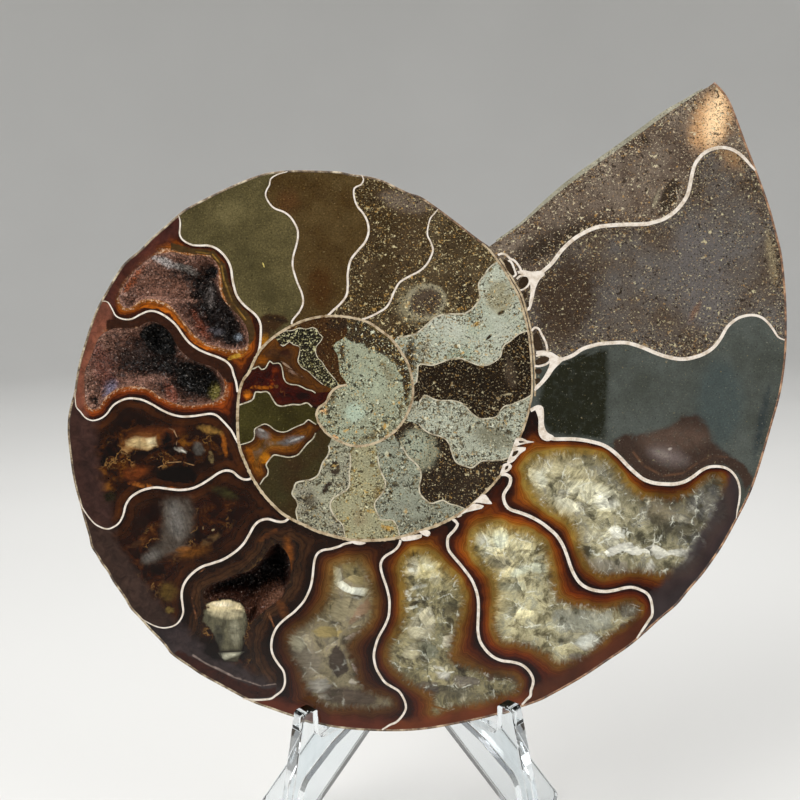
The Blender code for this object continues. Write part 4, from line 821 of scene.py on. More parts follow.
def nearTree(lines):
    # for the distance to the nearest of these lines
    points = [p for line in lines for p in line]
    tree = kdtree.KDTree(len(points))
    for i, p in enumerate(points):
        tree.insert((p[0], p[1], 0), i)
    tree.balance()
    return tree


def extended(line, by=0.6):
    first = line[0] + (line[0] - line[1]).normalized() * by
    last = line[-1] + (line[-1] - line[-2]).normalized() * by
    return [first] + line + [last]


def denser(points, step=0.3):
    line = []
    for a, b in zip(points, points[1:]):
        parts = max(1, round((b - a).length / step))
        line += [a.lerp(b, k / parts) for k in range(parts)]
    return line + [points[-1]]


outline = through(pairs(outlinePoints), 0.8)
aperture = through(pairs(aperturePoints), 0.8)
wallLine = through(pairs(wallPoints))
septumLines = {name: through(pairs(line)) for name, (_, _, *line) in septa.items()}
hollowLines = {name: through(pairs(edge, True)) for name, edge in hollows.items()}
coilEdgeLine = through(pairs(coilEdge))

# the whole face is divided along its lines into one triangle net
faceNet = {
    "spacing": 0.75, "rowShare": 0.866, "jitter": 0.18, "clear": 0.45,
    "corner": (-60, -72), "wide": 150, "high": 140,
    "edgeInset": 0.3, "carryOn": 0.3, "almost": 1.6, "ringInset": 0.4,
}
rimLine = outline + aperture[1:-1]
closedRim = rimLine + rimLine[:1]
insetRim = []
for i, p in enumerate(rimLine):
    ahead = (rimLine[(i + 1) % len(rimLine)] - rimLine[i - 1]).normalized()
    insetRim.append(p + Vector((-ahead.y, ahead.x)) * faceNet["edgeInset"])
wallsAndRim = nearTree([denser(wallLine), denser(insetRim + insetRim[:1])])
blocking = [insetRim + insetRim[:1], extended(wallLine),
            extended(coilEdgeLine, faceNet["carryOn"])]
for line in septumLines.values():
    # each septum is carried on to the wall or rim that it almost touches
    ends = []
    for p in (line[0], line[-1]):
        spot, _, far = wallsAndRim.find((p.x, p.y, 0))
        onto = Vector(spot[:2])
        beyond = onto + (onto - p).normalized() * faceNet["carryOn"]
        ends.append(beyond if far < faceNet["almost"] else p)
    blocking.append([ends[0]] + line + [ends[1]])
blocking += [pairs(join) for join in joins]
blocking += list(hollowLines.values())
grainAndLightLines = {}
for name, shapes in grainsAndPaintedLight.items():
    for colour, soft, turn, *numbers in shapes:
        if len(numbers) == 5:
            x, y, rx, ry, tilt = numbers
            spin = Matrix.Rotation(math.radians(tilt), 2)
            corners = [Vector((x, y)) + spin @ Vector((rx * math.cos(a), ry * math.sin(a)))
                       for a in (math.pi * k / 6 for k in range(12))]
        else:
            corners = pairs(numbers)
        grainAndLightLines.setdefault(name, []).append((colour, soft, turn, corners))
drawn = [corners + corners[:1] for shapes in grainAndLightLines.values() for *_, corners in shapes]
coreLines = {name: through(pairs(core, True)) for name, core in cores.items()}
drawn += list(coreLines.values())
netPoints = []
netEdges = []
for line in blocking + drawn:
    start = len(netPoints)
    netPoints += line
    netEdges += [(start + k, start + k + 1) for k in range(len(line) - 1)]
blockingEdges = sum(len(line) - 1 for line in blocking)
lineTree = nearTree([denser(line) for line in blocking + drawn])
rng = Random(7)
step, rowShare, jitter = faceNet["spacing"], faceNet["rowShare"], faceNet["jitter"]
left, low = faceNet["corner"]
for j in range(int(faceNet["high"] / (step * rowShare))):
    for i in range(int(faceNet["wide"] / step)):
        p = Vector((left + (i + 0.5 * (j % 2)) * step, low + j * step * rowShare))
        p += Vector((rng.uniform(-jitter, jitter), rng.uniform(-jitter, jitter))) * step
        far = lineTree.find((p.x, p.y, 0))[2]
        if far > faceNet["clear"] * step and insidePolygon(p, insetRim):
            netPoints.append(p)
for corners in [c for shapes in grainAndLightLines.values() for *_, c in shapes]:
    # a ring just inside each grain, so that its colour is full there
    middle = sum(corners, Vector((0, 0))) / len(corners)
    ring = corners + [a.lerp(b, 0.5) for a, b in zip(corners, corners[1:] + corners[:1])]
    for p in ring:
        inward = middle - p
        inset = min(faceNet["ringInset"], inward.length * 0.7)
        netPoints.append(p + inward.normalized() * inset)
points, edges, faces, _, edgeSources, _ = geometry.delaunay_2d_cdt(
    netPoints, netEdges, [], 0, 1e-4, True)
wallKeys = {
    tuple(sorted(edge)) for edge, sources in zip(edges, edgeSources)
    if any(source < blockingEdges for source in sources)
}
besides = {}
for f, face in enumerate(faces):
    for k in range(3):
        besides.setdefault(tuple(sorted((face[k - 1], face[k]))), []).append(f)
centres = [sum((points[v] for v in face), Vector((0, 0))) / 3 for face in faces]
centreTree = kdtree.KDTree(len(faces))
for f, centre in enumerate(centres):
    centreTree.insert((centre.x, centre.y, 0), f)
centreTree.balance()


def regionFrom(seed):
    # the faces that can be reached from a seed without crossing a wall
    start = centreTree.find((*seed, 0))[1]
    seen = {start}
    queue = [start]
    while queue:
        face = faces[queue.pop()]
        for k in range(3):
            key = tuple(sorted((face[k - 1], face[k])))
            if key not in wallKeys:
                for other in besides[key]:
                    if other not in seen:
                        seen.add(other)
                        queue.append(other)
    return sorted(seen)


owner = {}
for name, look in chambers.items():
    owner.update(dict.fromkeys(regionFrom(look["seed"]), name))
openings = {name: regionFrom(seed) for name, seed in (
    ("main", (-18, -38)), ("upper", (-30, 18)), ("side", (-38, 5)))}
taken = set(owner).union(*openings.values())
# slivers that no chamber reached go to the one they share most edges with
loose = [f for f in range(len(faces)) if f not in taken
         and insidePolygon(centres[f], insetRim)]
while loose:
    sliver = regionFrom(centres[loose[0]])
    touching = {}
    for f in sliver:
        for k in range(3):
            for other in besides[tuple(sorted((faces[f][k - 1], faces[f][k])))]:
                if other in owner:
                    touching[owner[other]] = touching.get(owner[other], 0) + 1
    owner.update(dict.fromkeys(sliver, max(sorted(touching), key=touching.get)))
    loose = [f for f in loose if f not in owner]

septumTree = nearTree([denser(line) for line in septumLines.values()] + [denser(wallLine)])
rimTree = nearTree([denser(closedRim)])
hollowTrees = {name: nearTree([line]) for name, line in hollowLines.items()}
coreTrees = {name: nearTree([line]) for name, line in coreLines.items()}


def stainAndPaintedLightAt(p, own):
    # the colour and strength of what is laid down here, its fibres' way and its haze
    colour, strength, turn, haze = (0, 0, 0), 0.0, 0, 0.0
    for tint, reach, fibre, polygon, tree in own:
        if insidePolygon(p, polygon):
            share = smoothStep(0, reach, tree.find((*p, 0))[2])
            colour = tint[:3] if strength < 0.01 else tuple(
                a + (b - a) * share for a, b in zip(colour, tint))
            strength += (1 - strength) * share
            turn = fibre
            haze = smoothStep(0.6, 2.4, reach)
    return (*colour, strength), math.radians(turn), haze


def chamberMesh(region, look, own, core=None):
    # the flat top of a chamber, with what its material needs to know at each corner:
    # growth from the walls (0) to the core or hollow (1), millimetres inside the core,
    # the way along its edge, and millimetres from the rim
    bm = bmesh.new()
    layer = {name: bm.loops.layers.float.new(name)
             for name in ("growth", "inside", "along", "toRim", "fibre", "haze")}
    stainAndPaintedLight = bm.loops.layers.float_color.new("stainAndPaintedLight")
    made = {}
    told = {}
    coreTree = coreTrees.get(core)
    corePolygon = [tuple(p) for p in coreLines[core][:-1]] if core else None
    for f in region:
        for v in faces[f]:
            if v in made:
                continue
            p = points[v]
            made[v] = bm.verts.new((p.x, p.y, 0))
            fromRim = rimTree.find((p.x, p.y, 0))[2]
            wall = min(septumTree.find((p.x, p.y, 0))[2], fromRim)
            inside = along = 0.0
            if coreTree:
                _, along, toCore = coreTree.find((p.x, p.y, 0))
                growth = wall / max(0.01, wall + toCore)
                if insidePolygon(p, corePolygon):
                    inside = toCore
                    growth = 1.0
            elif "hollow" in look:
                fromHollow = hollowTrees[look["hollow"]].find((p.x, p.y, 0))[2]
                growth = wall / max(0.01, wall + fromHollow)
            else:
                growth = wall / look.get("reach", 4.0)
            told[v] = (growth, inside, along * lineStep, fromRim)
    for f in region:
        face = bm.faces.new([made[v] for v in faces[f]])
        middle = told[faces[f][0]][2]
        for loop, v in zip(face.loops, faces[f]):
            growth, inside, along, fromRim = told[v]
            loop[layer["growth"]] = growth
            loop[layer["inside"]] = inside
            loop[layer["along"]] = along if abs(along - middle) < 3 else middle
            loop[layer["toRim"]] = fromRim
            # just inside this face, so that a grain's edge stays its own
            p = points[v].lerp(centres[f], 0.02)
            loop[stainAndPaintedLight], loop[layer["fibre"]], loop[layer["haze"]] = stainAndPaintedLightAt(p, own)
    return bm


def stainsAndPaintedLightOver(add, place, colour, fibrous=True, full=1.0):
    # grains, stains and painted light and shade over a chamber's own colour: ragged where crisp, smooth
    # where hazy
    stainAndPaintedLight = add("Attribute", out=None, attribute_name="stainAndPaintedLight")
    haze = add("Attribute", out="Fac", attribute_name="haze")
    laid = stainAndPaintedLight.outputs["Color"]
    if fibrous:
        turned = add("VectorRotate", {
            "Vector": place, "Angle": add("Attribute", out="Fac", attribute_name="fibre")},
            rotation_type="Z_AXIS")
        fibres = add("TexNoise", {
            "Vector": add("Mapping", {"Vector": turned, "Scale": (0.4, 1.7, 1)}),
            "Scale": 1.0, "Detail": 5.0, "Roughness": 0.68, "Distortion": 0.4})
        laid = mottled(add, laid, fibres, 0.6, 1.35)
    ragged = add("TexNoise", {
        "Vector": place, "Scale": 1 / 1.5, "Detail": 6.0, "Roughness": 0.75})
    shift = add("Math", (add("MapRange", (ragged, 0.25, 0.75, -0.55, 0.55)),
                         add("MapRange", (haze, 0.0, 1.0, 1.0, 0.45))), **times)
    reached = add("MapRange", (
        add("Math", (stainAndPaintedLight.outputs["Alpha"], shift)),
        add("MapRange", (haze, 0.0, 1.0, 0.25, 0.0)),
        add("MapRange", (haze, 0.0, 1.0, 0.75, 1.0)), 0.0, full))
    reached = add("Math", (reached, add("MapRange", (haze, 0.0, 1.0, 1.0, 2.3))),
                  operation="POWER")
    there = add("MapRange", (stainAndPaintedLight.outputs["Alpha"], 0.0, 0.18))
    return add("Mix", {0: add("Math", (reached, there), **times), 6: colour, 7: laid}, **rgba)


# noise cuts for dark pores and pale grit: in the open, then where they crowd
specks = {
    "mud": ((0.31, 0.34), (0.69, 0.67)),
    "grit": ((0.38, 0.44), (0.64, 0.59)),
    "marl": ((0.36, 0.475), (0.665, 0.6)),
}
faceGloss = 0.2


def polishedMudstone(name, look):
    # lime mud with shell grit and pores, sawn and polished: fine specks under a soft gloss
    material, shader, place, add = startMaterial(name, 0.2, 1.5, faceGloss)
    elsewhere = add("Mapping", {"Vector": place, "Location": (31, 17, 5)})
    poreCuts, gritCuts = look.get("cuts", specks[look["kind"]])
    ground = add("ValToRGB", {"Fac": add("TexNoise", {
        "Vector": place, "Scale": 1 / 9, "Detail": 4.0, "Roughness": 0.6})}, stops=(
        (0.38, look["ground"][0]), (0.62, look["ground"][1])))
    patchy = add("TexNoise", {
        "Vector": elsewhere, "Scale": 1 / 3.6, "Detail": 4.0, "Roughness": 0.6})
    crowd = add("MapRange", (patchy, 0.34, 0.66, -0.35, 0.75))
    if not look.get("plain"):
        ground = stainsAndPaintedLightOver(add, place, ground, False)
        growth = add("Attribute", out="Fac", attribute_name="growth")
        crowd = add("Math", (crowd, add("MapRange", (growth, 0.1, 1.3, 0.75, 0.0))))
    # broad clouds and a fine grain
    for size, low, high in ((2.2, 0.88, 1.1), (0.36, *look.get("fine", (0.7, 1.3)))):
        cloud = add("TexNoise", {
            "Vector": elsewhere, "Scale": 1 / size, "Detail": 4.0, "Roughness": 0.7})
        ground = mottled(add, ground, cloud, low, high)
    # pale grit and dark pores: a fine peppering, then fewer larger ones
    tint = add("TexNoise", {"Vector": place, "Scale": 1 / 0.9, "Detail": 2.0})
    pale = add("ValToRGB", {"Fac": tint}, stops=(
        (0.36, look.get("bright", look["grit"])), (0.5, look["grit"]), (0.6, look["gold"])))
    dark = add("ValToRGB", {"Fac": tint}, stops=(
        (0.45, look["pore"]), (0.62, look.get("rust", look["pore"]))))
    colour = ground
    for size, extra in ((0.36, 0.0), (0.95, look.get("coarse", 0.035))):
        for at, cuts, speck, sign in (
                (place, poreCuts, dark, -1), (elsewhere, gritCuts, pale, 1)):
            grain = add("TexNoise", {
                "Vector": at, "Scale": 1 / size, "Detail": 2.5, "Roughness": 0.6,
                "Distortion": 0.3})
            cut = add("MapRange", (crowd, 0.0, 1.0, *(c + sign * extra for c in cuts)))
            over = add("Math", (grain, cut), operation="SUBTRACT")
            shows = add("MapRange", (over, -0.02, 0.025, 0.0, 0.9) if sign > 0 else
                        (over, -0.025, 0.02, 0.85, 0.0))
            colour = add("Mix", {0: shows, 6: colour, 7: speck}, **rgba)
    wear(shader, colour, add("MapRange", (shows, 0.0, 1.0, 0.17, 0.4)))
    return material


def crystalFaces(add, bent, size):
    # crystal faces about this many millimetres across: each its own tone, with painted shade running
    # across it from one side to the other as if lit at a slant; and how far it is to where two of them
    # meet
    cell = add("TexVoronoi", {"Vector": bent, "Scale": 1 / size}, out=None)
    local = add("VectorMath", (bent, cell.outputs["Position"]), operation="SUBTRACT")
    lean = add("VectorMath", (cell.outputs["Color"], (0.5, 0.5, 0.5)), operation="SUBTRACT")
    paintedFacetShade = add("VectorMath", (local, lean), "Value", operation="DOT_PRODUCT")
    tone = add("MapRange", (paintedFacetShade, -0.22 * size, 0.22 * size, 0.5, 1.5))
    edge = add("TexVoronoi", {"Vector": bent, "Scale": 1 / size}, "Distance",
               feature="DISTANCE_TO_EDGE")
    return tone, cell, edge


def bandedSpar(name, look):
    # calcite spar that grew inward from the walls in amber bands and closed in a mass of
    # pale crystals, polished clear and flat
    material, shader, place, add = startMaterial(name, 0.09, 1.56, faceGloss)
    told = {key: add("Attribute", out="Fac", attribute_name=key)
            for key in ("growth", "inside", "along", "toRim")}
    crystalline = "small" in look
    broad = add("TexNoise", {"Vector": place, "Scale": 1 / 2.6, "Detail": 3.0})
    wander = add("MapRange", (broad, 0.25, 0.75, -0.11, 0.11))
    depth = add("Math", (told["growth"], wander))
    bands = add("ValToRGB", {"Fac": depth}, stops=tuple(zip(
        (0.06, 0.28, 0.55, 0.8, 1.0), look["bands"])))
    lines = add("TexNoise", {"W": add("Math", (depth, 11.0), **times),
                             "Scale": 1.0, "Detail": 3.0}, noise_dimensions="1D")
    cloud = add("TexNoise", {"Vector": place, "Scale": 1 / 6, "Detail": 4.0})
    for value, low, high in ((lines, *look.get("layers", (0.6, 1.45))), (cloud, 0.5, 1.35)):
        bands = mottled(add, bands, value, low, high)
    murk = add("TexNoise", {"Vector": place, "Scale": 1 / min(look["grain"], 3.4), "Detail": 7.0,
                            "Roughness": 0.66, "Distortion": 0.5})
    count = len(look["fill"])
    fill = add("ValToRGB", {"Fac": murk}, stops=tuple(
        (0.36 + 0.3 * k / (count - 1), code) for k, code in enumerate(look["fill"])))
    if crystalline:
        # glassy crystals of two sizes, with needles radiating in from the bands
        bent = add("VectorMath", (place, add("TexNoise", {
            "Vector": place, "Scale": 1 / 1.3, "Detail": 4.0, "Roughness": 0.6},
            out="Color")))
        large, cell, largeEdge = crystalFaces(add, bent, look["grain"])
        small, _, smallEdge = crystalFaces(add, bent, look["grain"] * 0.42)
        turned = add("VectorRotate", {"Vector": place, "Angle": add(
            "Math", (add("SeparateColor", (cell.outputs["Color"],)), 6.283), **times)},
            rotation_type="Z_AXIS")
        fibres = add("TexNoise", {
            "Vector": add("Mapping", {"Vector": turned, "Scale": (0.45, 2.2, 1)}),
            "Scale": 1.0, "Detail": 4.0, "Roughness": 0.7, "Distortion": 0.5})
        needles = add("TexNoise", {
            "Vector": add("CombineXYZ", (
                add("Math", (told["along"], 1.9), **times),
                add("Math", (told["inside"], 0.3), **times))),
            "Scale": 1.0, "Detail": 4.0, "Roughness": 0.65, "Distortion": 0.5})
        deep = add("MapRange", (told["inside"], 1.6, 4.6))
        fibres = add("Mix", {0: deep, 2: needles, 3: fibres})
        sides = add("Mix", {0: add("MapRange", (cloud, 0.44, 0.58, 0.0, look["small"])),
                            2: large, 3: small})
        fill = stainsAndPaintedLightOver(add, place, fill, full=look.get("drawn", 0.75))
        # golden and fibrous toward the inner wall, grey and faceted toward the venter
        gilt = add("MapRange", (told["toRim"], 13.0, 29.0))
        bands = add("Mix", {0: 1.0, 6: bands, 7: add("ValToRGB", {"Fac": gilt}, stops=(
            (0.0, "#b89c8a"), (1.0, "#ffffff")))}, **darken)
        clear = add("MapRange", (gilt, 0.0, 1.0, 0.5, 1.0))
        clear = add("Math", (clear, look.get("clear", 1.0)), **times)
        for value, low, high, start, end in (
                (fibres, 0.56, 1.5, 0.3, 0.7), (murk, 0.76, 1.22, 0.3, 0.7),
                (cell.outputs["Color"], 0.72, 1.24, 0.2, 0.8)):
            fill = mottled(add, fill, value, low, high, start, end, clear)
        fill = add("Mix", {0: add("MapRange", (deep, 0.0, 1.0, 0.2, 0.95)), 6: fill,
                           7: sides}, **darken)
        # golden where the crystals root in the bands
        root = add("ValToRGB", {"Fac": gilt}, stops=((0.2, "#a39484"), (0.9, "#dcc280")))
        fill = add("Mix", {0: add("MapRange", (told["inside"], 0.3, 3.2, 0.9, 0.0)), 6: fill,
                           7: root}, **darken)
        # bright edges and glints where light catches, dark gaps between
        patch = add("TexNoise", {"Vector": place, "Scale": 1 / 2.2, "Detail": 5.0,
                                 "Roughness": 0.6})
        lit = add("MapRange", (patch, 0.5, 0.62, 0.0, look.get("glint", 1.0)))
        for edge, wide, strength in ((largeEdge, 0.035, 0.85),
                                     (smallEdge, 0.05, 0.6 * look["small"])):
            glint = add("Math", (add("MapRange", (edge, 0.0, wide, strength, 0.0)), lit), **times)
            fill = add("Mix", {0: glint, 6: fill, 7: shade("#dcdccb")}, **rgba)
        flash = add("Math", (add("MapRange", (fibres, 0.54, 0.66, 0.0, 0.75)), lit), **times)
        flash = add("Math", (flash, clear), **times)
        fill = add("Mix", {0: flash, 6: fill, 7: shade("#d6d5c0")}, **rgba)
        gaps = add("Math", (add("MapRange", (large, 0.95, 0.6)),
                            add("MapRange", (patch, 0.48, 0.36, 0.0, 0.85))), **times)
        fill = add("Mix", {0: gaps, 6: fill, 7: shade("#3b3728")}, **rgba)
        edge = add("Math", (told["inside"], add("MapRange", (needles, 0.3, 0.7, -0.9, 0.4))))
        core = add("Math", (add("MapRange", (edge, 0.0, 1.3)),
                            add("MapRange", (told["inside"], 0.0, 0.25))), **times)
        colour = add("Mix", {0: core, 6: bands, 7: fill}, **rgba)
    elif "hollow" in look:
        # a crust of sugary points where the spar meets the hollow
        crumbs = add("TexNoise", {"Vector": place, "Scale": 1 / 0.6, "Detail": 3.0,
                                  "Roughness": 0.7})
        crust = add("ValToRGB", {"Fac": crumbs}, stops=(
            (0.4, "#5a2c12"), (0.5, "#865434"), (0.62, "#c4a384")))
        reach = add("Math", (told["growth"], add(
            "MapRange", (crumbs, 0.3, 0.7, -0.2, 0.2))))
        reach = add("Math", (reach, add("MapRange", (broad, 0.3, 0.7, -0.1, 0.12))))
        colour = add("Mix", {0: add("MapRange", (reach, 0.78, 0.98)), 6: bands, 7: crust},
                     **rgba)
    else:
        # thin crusts that wander through the murk
        vein = add("TexNoise", {"Vector": place, "Scale": 1 / 3.4, "Detail": 5.0,
                                "Roughness": 0.6})
        vein = add("Math", (add("Math", (vein, 0.5), operation="SUBTRACT"),),
                   operation="ABSOLUTE")
        vein = add("Math", (add("MapRange", (vein, 0.006, 0.02, 0.8, 0.0)),
                            add("MapRange", (cloud, 0.5, 0.6))), **times)
        fill = add("Mix", {0: vein, 6: fill, 7: shade("#8a6434")}, **rgba)
        colour = add("Mix", {0: add("MapRange", (depth, 0.75, 1.2)), 6: bands, 7: fill},
                     **rgba)
    width = look.get("venterWidth", 4.0)
    venter = add("Math", (told["toRim"], add("MapRange", (broad, 0.25, 0.75, -0.7, 0.7))))
    venter = add("MapRange", (venter, width - 0.7, width + 0.9, 0.9, 0.0))
    outer = mottled(add, shade(look["venter"]), cloud, 0.7, 1.35)
    colour = add("Mix", {0: venter, 6: colour, 7: outer}, **rgba)
    if not crystalline:
        colour = stainsAndPaintedLightOver(add, place, colour)
        smoke = add("TexNoise", {"Vector": place, "Scale": 1 / 1.8, "Detail": 7.0,
                                 "Roughness": 0.7, "Distortion": 0.8})
        colour = mottled(add, colour, smoke, 0.5, 1.4, 0.32, 0.68)
    wear(shader, colour)
    return material


slab = {"depth": 1.2, "crispEdge": 0.2, "softest": 0.8}  # millimetres
grainAndLightShapes = {}
for chamber, shapes in grainAndLightLines.items():
    for colour, soft, turn, corners in shapes:
        tree = nearTree([denser(corners + corners[:1])])
        middle = sum(corners, Vector((0, 0))) / len(corners)
        inmost = 0.95 * tree.find((*middle, 0))[2]
        reach = min(max(soft, slab["softest"]), inmost) if soft else slab["crispEdge"]
        grainAndLightShapes.setdefault(chamber, []).append(
            (shade(colour), max(0.15, reach), turn, [tuple(p) for p in corners], tree))
makers = {"mud": polishedMudstone, "grit": polishedMudstone, "marl": polishedMudstone,
          "spar": bandedSpar}
for name, look in chambers.items():
    region = [f for f in range(len(faces)) if owner.get(f) == name]
    bm = chamberMesh(region, look, grainAndLightShapes.get(name, []), name if name in cores else None)
    thicken(bm, slab["depth"])
    addPiece(bm, name, makers[look["kind"]](name + "_stone", look))


print("septa and walls")
calcites = {
    "septum": ("#e0d6ca", "#bcab96"),
    "thinSeptum": ("#c4bba4", "#7d7058"),
    "wall": ("#bdab8e", "#7c6548"),
}


def chalkyCalcite(name, light, warm):
    # shell walls turned to white calcite, polished: warm white with fine cloudy grain
    material, shader, place, add = startMaterial(name, 0.22, 1.5, faceGloss)
    wear(shader, add("ValToRGB", {"Fac": add("TexNoise", {
        "Vector": place, "Scale": 1 / 1.6, "Detail": 5.0, "Roughness": 0.7})}, stops=(
        (0.36, warm), (0.56, light))))
    return material


calcite = {name: chalkyCalcite(name + "_calcite", *tones) for name, tones in calcites.items()}


def drawOut(bm, places):
    # a strip of no width along a row of points: its faces, and the points of its far side
    row = [bm.verts.new(place) for place in places]
    chain = [bm.edges.new(pair) for pair in zip(row, row[1:])]
    swept = bmesh.ops.extrude_edge_only(bm, edges=chain)
    new = {v for v in swept["geom"] if isinstance(v, bmesh.types.BMVert)}
    twins = [next(e.other_vert(v) for e in v.link_edges if e.other_vert(v) in new) for v in row]
    return [f for f in swept["geom"] if isinstance(f, bmesh.types.BMFace)], twins


def addRibbon(bm, line, width, top, depth):
    # a flat strip along a line; width gives its width at a share of its length
    last = len(line) - 1
    sides = []
    for i, p in enumerate(line):
        ahead = (line[min(i + 1, last)] - line[max(i - 1, 0)]).normalized()
        sides.append(Vector((-ahead.y, ahead.x)) * width(i / last) / 2)
    strip, twins = drawOut(bm, [(*(p + side), top) for p, side in zip(line, sides)])
    for other, side in zip(twins, sides):
        other.co -= Vector((*side, 0)) * 2
    sweep(bm, strip, (0, 0, -depth))


def addPlate(bm, edge, top, depth):
    # a flat plate let into the face
    face = bm.faces.new([bm.verts.new((*p, top)) for p in edge])
    bm.normal_update()
    sweep(bm, [face], (0, 0, -depth))


# how far each kind of inlay stands above the face and how thick it is, in millimetres
inlays = {
    "septum": (0.045, 1.0), "wall": (0.06, 1.0), "twin": (0.055, 1.0), "web": (0.07, 0.8),
    "loop": (0.075, 0.8), "cell": (0.08, 0.8), "aperture": (0.03, 0.6),
}
# the share of its drawn width that each slimmer septum keeps
slim = {"s04": 0.8, "s05": 0.74, "s06": 0.68, "s07": 0.64, "s08": 0.64, "s09": 0.64,
        "s10": 0.62, "s11": 0.62, "s12": 0.72, "s13": 0.8}
for whorls, kind, first, end in (("septa_outer_whorl", "septum", 1, 16),
                                 ("septa_inner_whorls", "thinSeptum", 16, 31)):
    bm = bmesh.new()
    for name in [f"s{k:02}" for k in range(first, end)]:
        atWall, atVenter, *_ = septa[name]
        addRibbon(
            bm, septumLines[name], lambda t, a=atWall, b=atVenter, k=slim.get(name, 0.84):
            k * (a + (b - a) * smoothStep(0.55, 1.0, t) - 0.25 * a * smoothStep(0.94, 1.0, t)),
            *inlays["septum"])
    addPiece(faceOut(bm), whorls, calcite[kind])

bm = bmesh.new()
addRibbon(bm, wallLine, lambda t: (0.48 + 0.08 * smoothStep(0.3, 0.45, t)
          - 0.16 * smoothStep(0.72, 0.8, t)) * (1 + 0.5 * noise.noise(Vector((t * 400, 0, 0)))),
          *inlays["wall"])
# the wall shows a second layer on its right
twin = [p for p in wallLine if p.x > 29.4 and p.y > -1.2]
addRibbon(bm, [p + (p - Vector((2, -3))).normalized() * 0.62 for p in twin],
          lambda t: 0.34, *inlays["twin"])
addPiece(faceOut(bm), "whorl_wall", calcite["wall"])

# webs and spurs of calcite where septa meet the wall, and the small cells in them
webs = (
    (33.4,24.1, 34.6,24.4, 36.3,24.1, 38,24.2, 39,23.6, 37.9,22.4, 37.1,20.6, 36.7,18.6, 36,16.4,
     35.4,16.2, 35.9,18.4, 36.1,20.2, 36,22, 35.4,23.3, 34.2,23.6),
    (37.3,8.2, 38.8,8.3, 40.4,7.9, 41.9,7, 43,6.8, 42.2,5.9, 40.9,4.6, 39.8,3, 38.4,1.4, 37,0.2, 37,1,
     38.3,2.4, 39.2,3.8, 39.9,5.4, 39.7,6.7, 38.6,7.5, 37.2,7.6),
    (36.6,-3, 37.6,-2.6, 38.6,-3, 38.8,-4.6, 38.8,-6.4, 39.4,-8, 40.8,-8.9, 39.8,-9.8, 38.4,-9.4,
     37.7,-8, 37.7,-5.6, 37.2,-3.9),
    (33.2,-9.2, 34.4,-9.2, 35.4,-9.7, 36.9,-10, 35.2,-10.3, 33.6,-10.7, 32.6,-11),
    (32.6,-11.1, 33.6,-11, 35.2,-11.1, 35.1,-11.6, 34,-12.4, 32.8,-13.8, 31.6,-14.4, 31.4,-14),
    (30.6,-14.5, 31.6,-14.2, 32.4,-14.8, 31.9,-15.7, 30.9,-16.2, 30,-16.6),
    (26.4,-20.5, 27.2,-20.6, 27.9,-21.6, 28.4,-22.4, 26.8,-22.3, 25.2,-22.1, 24.6,-22.2),
    (24.6,-22.4, 25.6,-22.4, 26.8,-22.8, 26.4,-23.3, 24.8,-23.7, 22.9,-24.2, 22.2,-24.9, 21.4,-25),
    (10.1,-29.2, 12.2,-28.7, 14.4,-28.5, 14.3,-29.1, 12.8,-29.6, 10.6,-29.8),
    (13.8,-27.9, 15.4,-27.6, 16.1,-28.2, 15.6,-28.9, 14.4,-28.5),
    (0.4,-29.8, 1.8,-29.9, 3.2,-30.2, 2,-30.6, 0.6,-30.3),
)
loops = (
    (29.6,27.4, 30.4,27.7, 31.3,27.4, 32,26.7, 32.9,26.3, 33.5,25.6, 34,24.9, 34.2,24, 33.6,23.9),
    (36.3,12.2, 37,12.9, 37.8,12.6, 38.3,11.6, 38.9,10.5, 39.3,9.4, 39.5,8.2),
    (31.4,25.9, 31.9,26.3, 32.5,25.6, 32.9,24.4, 33.2,23.5, 32.6,23.1),
    (33.4,22.6, 34,23.2, 35,23.3, 35.9,22.6, 35.8,21.6, 35,20.8, 34.1,20.4),
    (37.2,7.2, 38.4,7.5, 39.7,7.2, 40.2,6.5, 39.3,5.6, 38,5.2, 36.9,5.2),
)
cells = (
    (30.6,26.6, 31.5,26.3, 32.3,25.3, 32.8,24.2, 32.9,23.4, 32.3,23.4, 31.3,24.7),
    (33.7,21.9, 34.3,22.8, 35.2,23.1, 35.7,22.5, 35.5,21.5, 34.8,20.8, 34,20.6),
    (34.6,19.9, 35.2,20, 35.4,19, 34.9,18.6),
    (35.2,17.9, 35.7,18.1, 35.8,17.1, 35.5,16.9),
    (36.7,9.6, 36.7,11.2, 37.3,11.9, 37.9,11.2, 38.4,9.9, 38.6,8.6, 37.8,8.3, 37,8.6),
    (37,6.2, 38,6.9, 39.2,7.1, 39.9,6.7, 39.3,6, 38.3,5.5, 37.3,5.4),
    (37,4.5, 37.8,4.7, 38.4,4.3, 38,3.6, 37.1,3.8),
    (37,2.6, 37.9,2.8, 38,2, 37.2,1.5),
    (33.7,-9.8, 34.6,-9.8, 35,-10, 33.9,-10.2),
    (32.7,-11.9, 33.7,-11.7, 33.2,-12.6, 32.4,-12.9),
    (31.1,-14.9, 31.7,-14.7, 31.5,-15.4, 31,-15.6),
    (22.3,-24.5, 23.3,-24.1, 22.7,-24.7),
)
bm = bmesh.new()
for web in webs:
    addPlate(bm, through(pairs(web, True), 0.5)[:-1], *inlays["web"])
for loop in loops:
    addRibbon(bm, through(pairs(loop), 0.4), lambda t: 0.42, *inlays["loop"])
addPiece(faceOut(bm), "webs", calcite["septum"])
bm = bmesh.new()
for cell in cells:
    addPlate(bm, through(pairs(cell, True), 0.4)[:-1], *inlays["cell"])
cellMud = polishedMudstone("cell_mud", dict(
    kind="mud", plain=True, ground=("#2a1f14", "#3a2c1e"), grit="#6d5a40", gold="#7c5f34",
    pore="#0f0a06"))
addPiece(faceOut(bm), "wall_cells", cellMud)
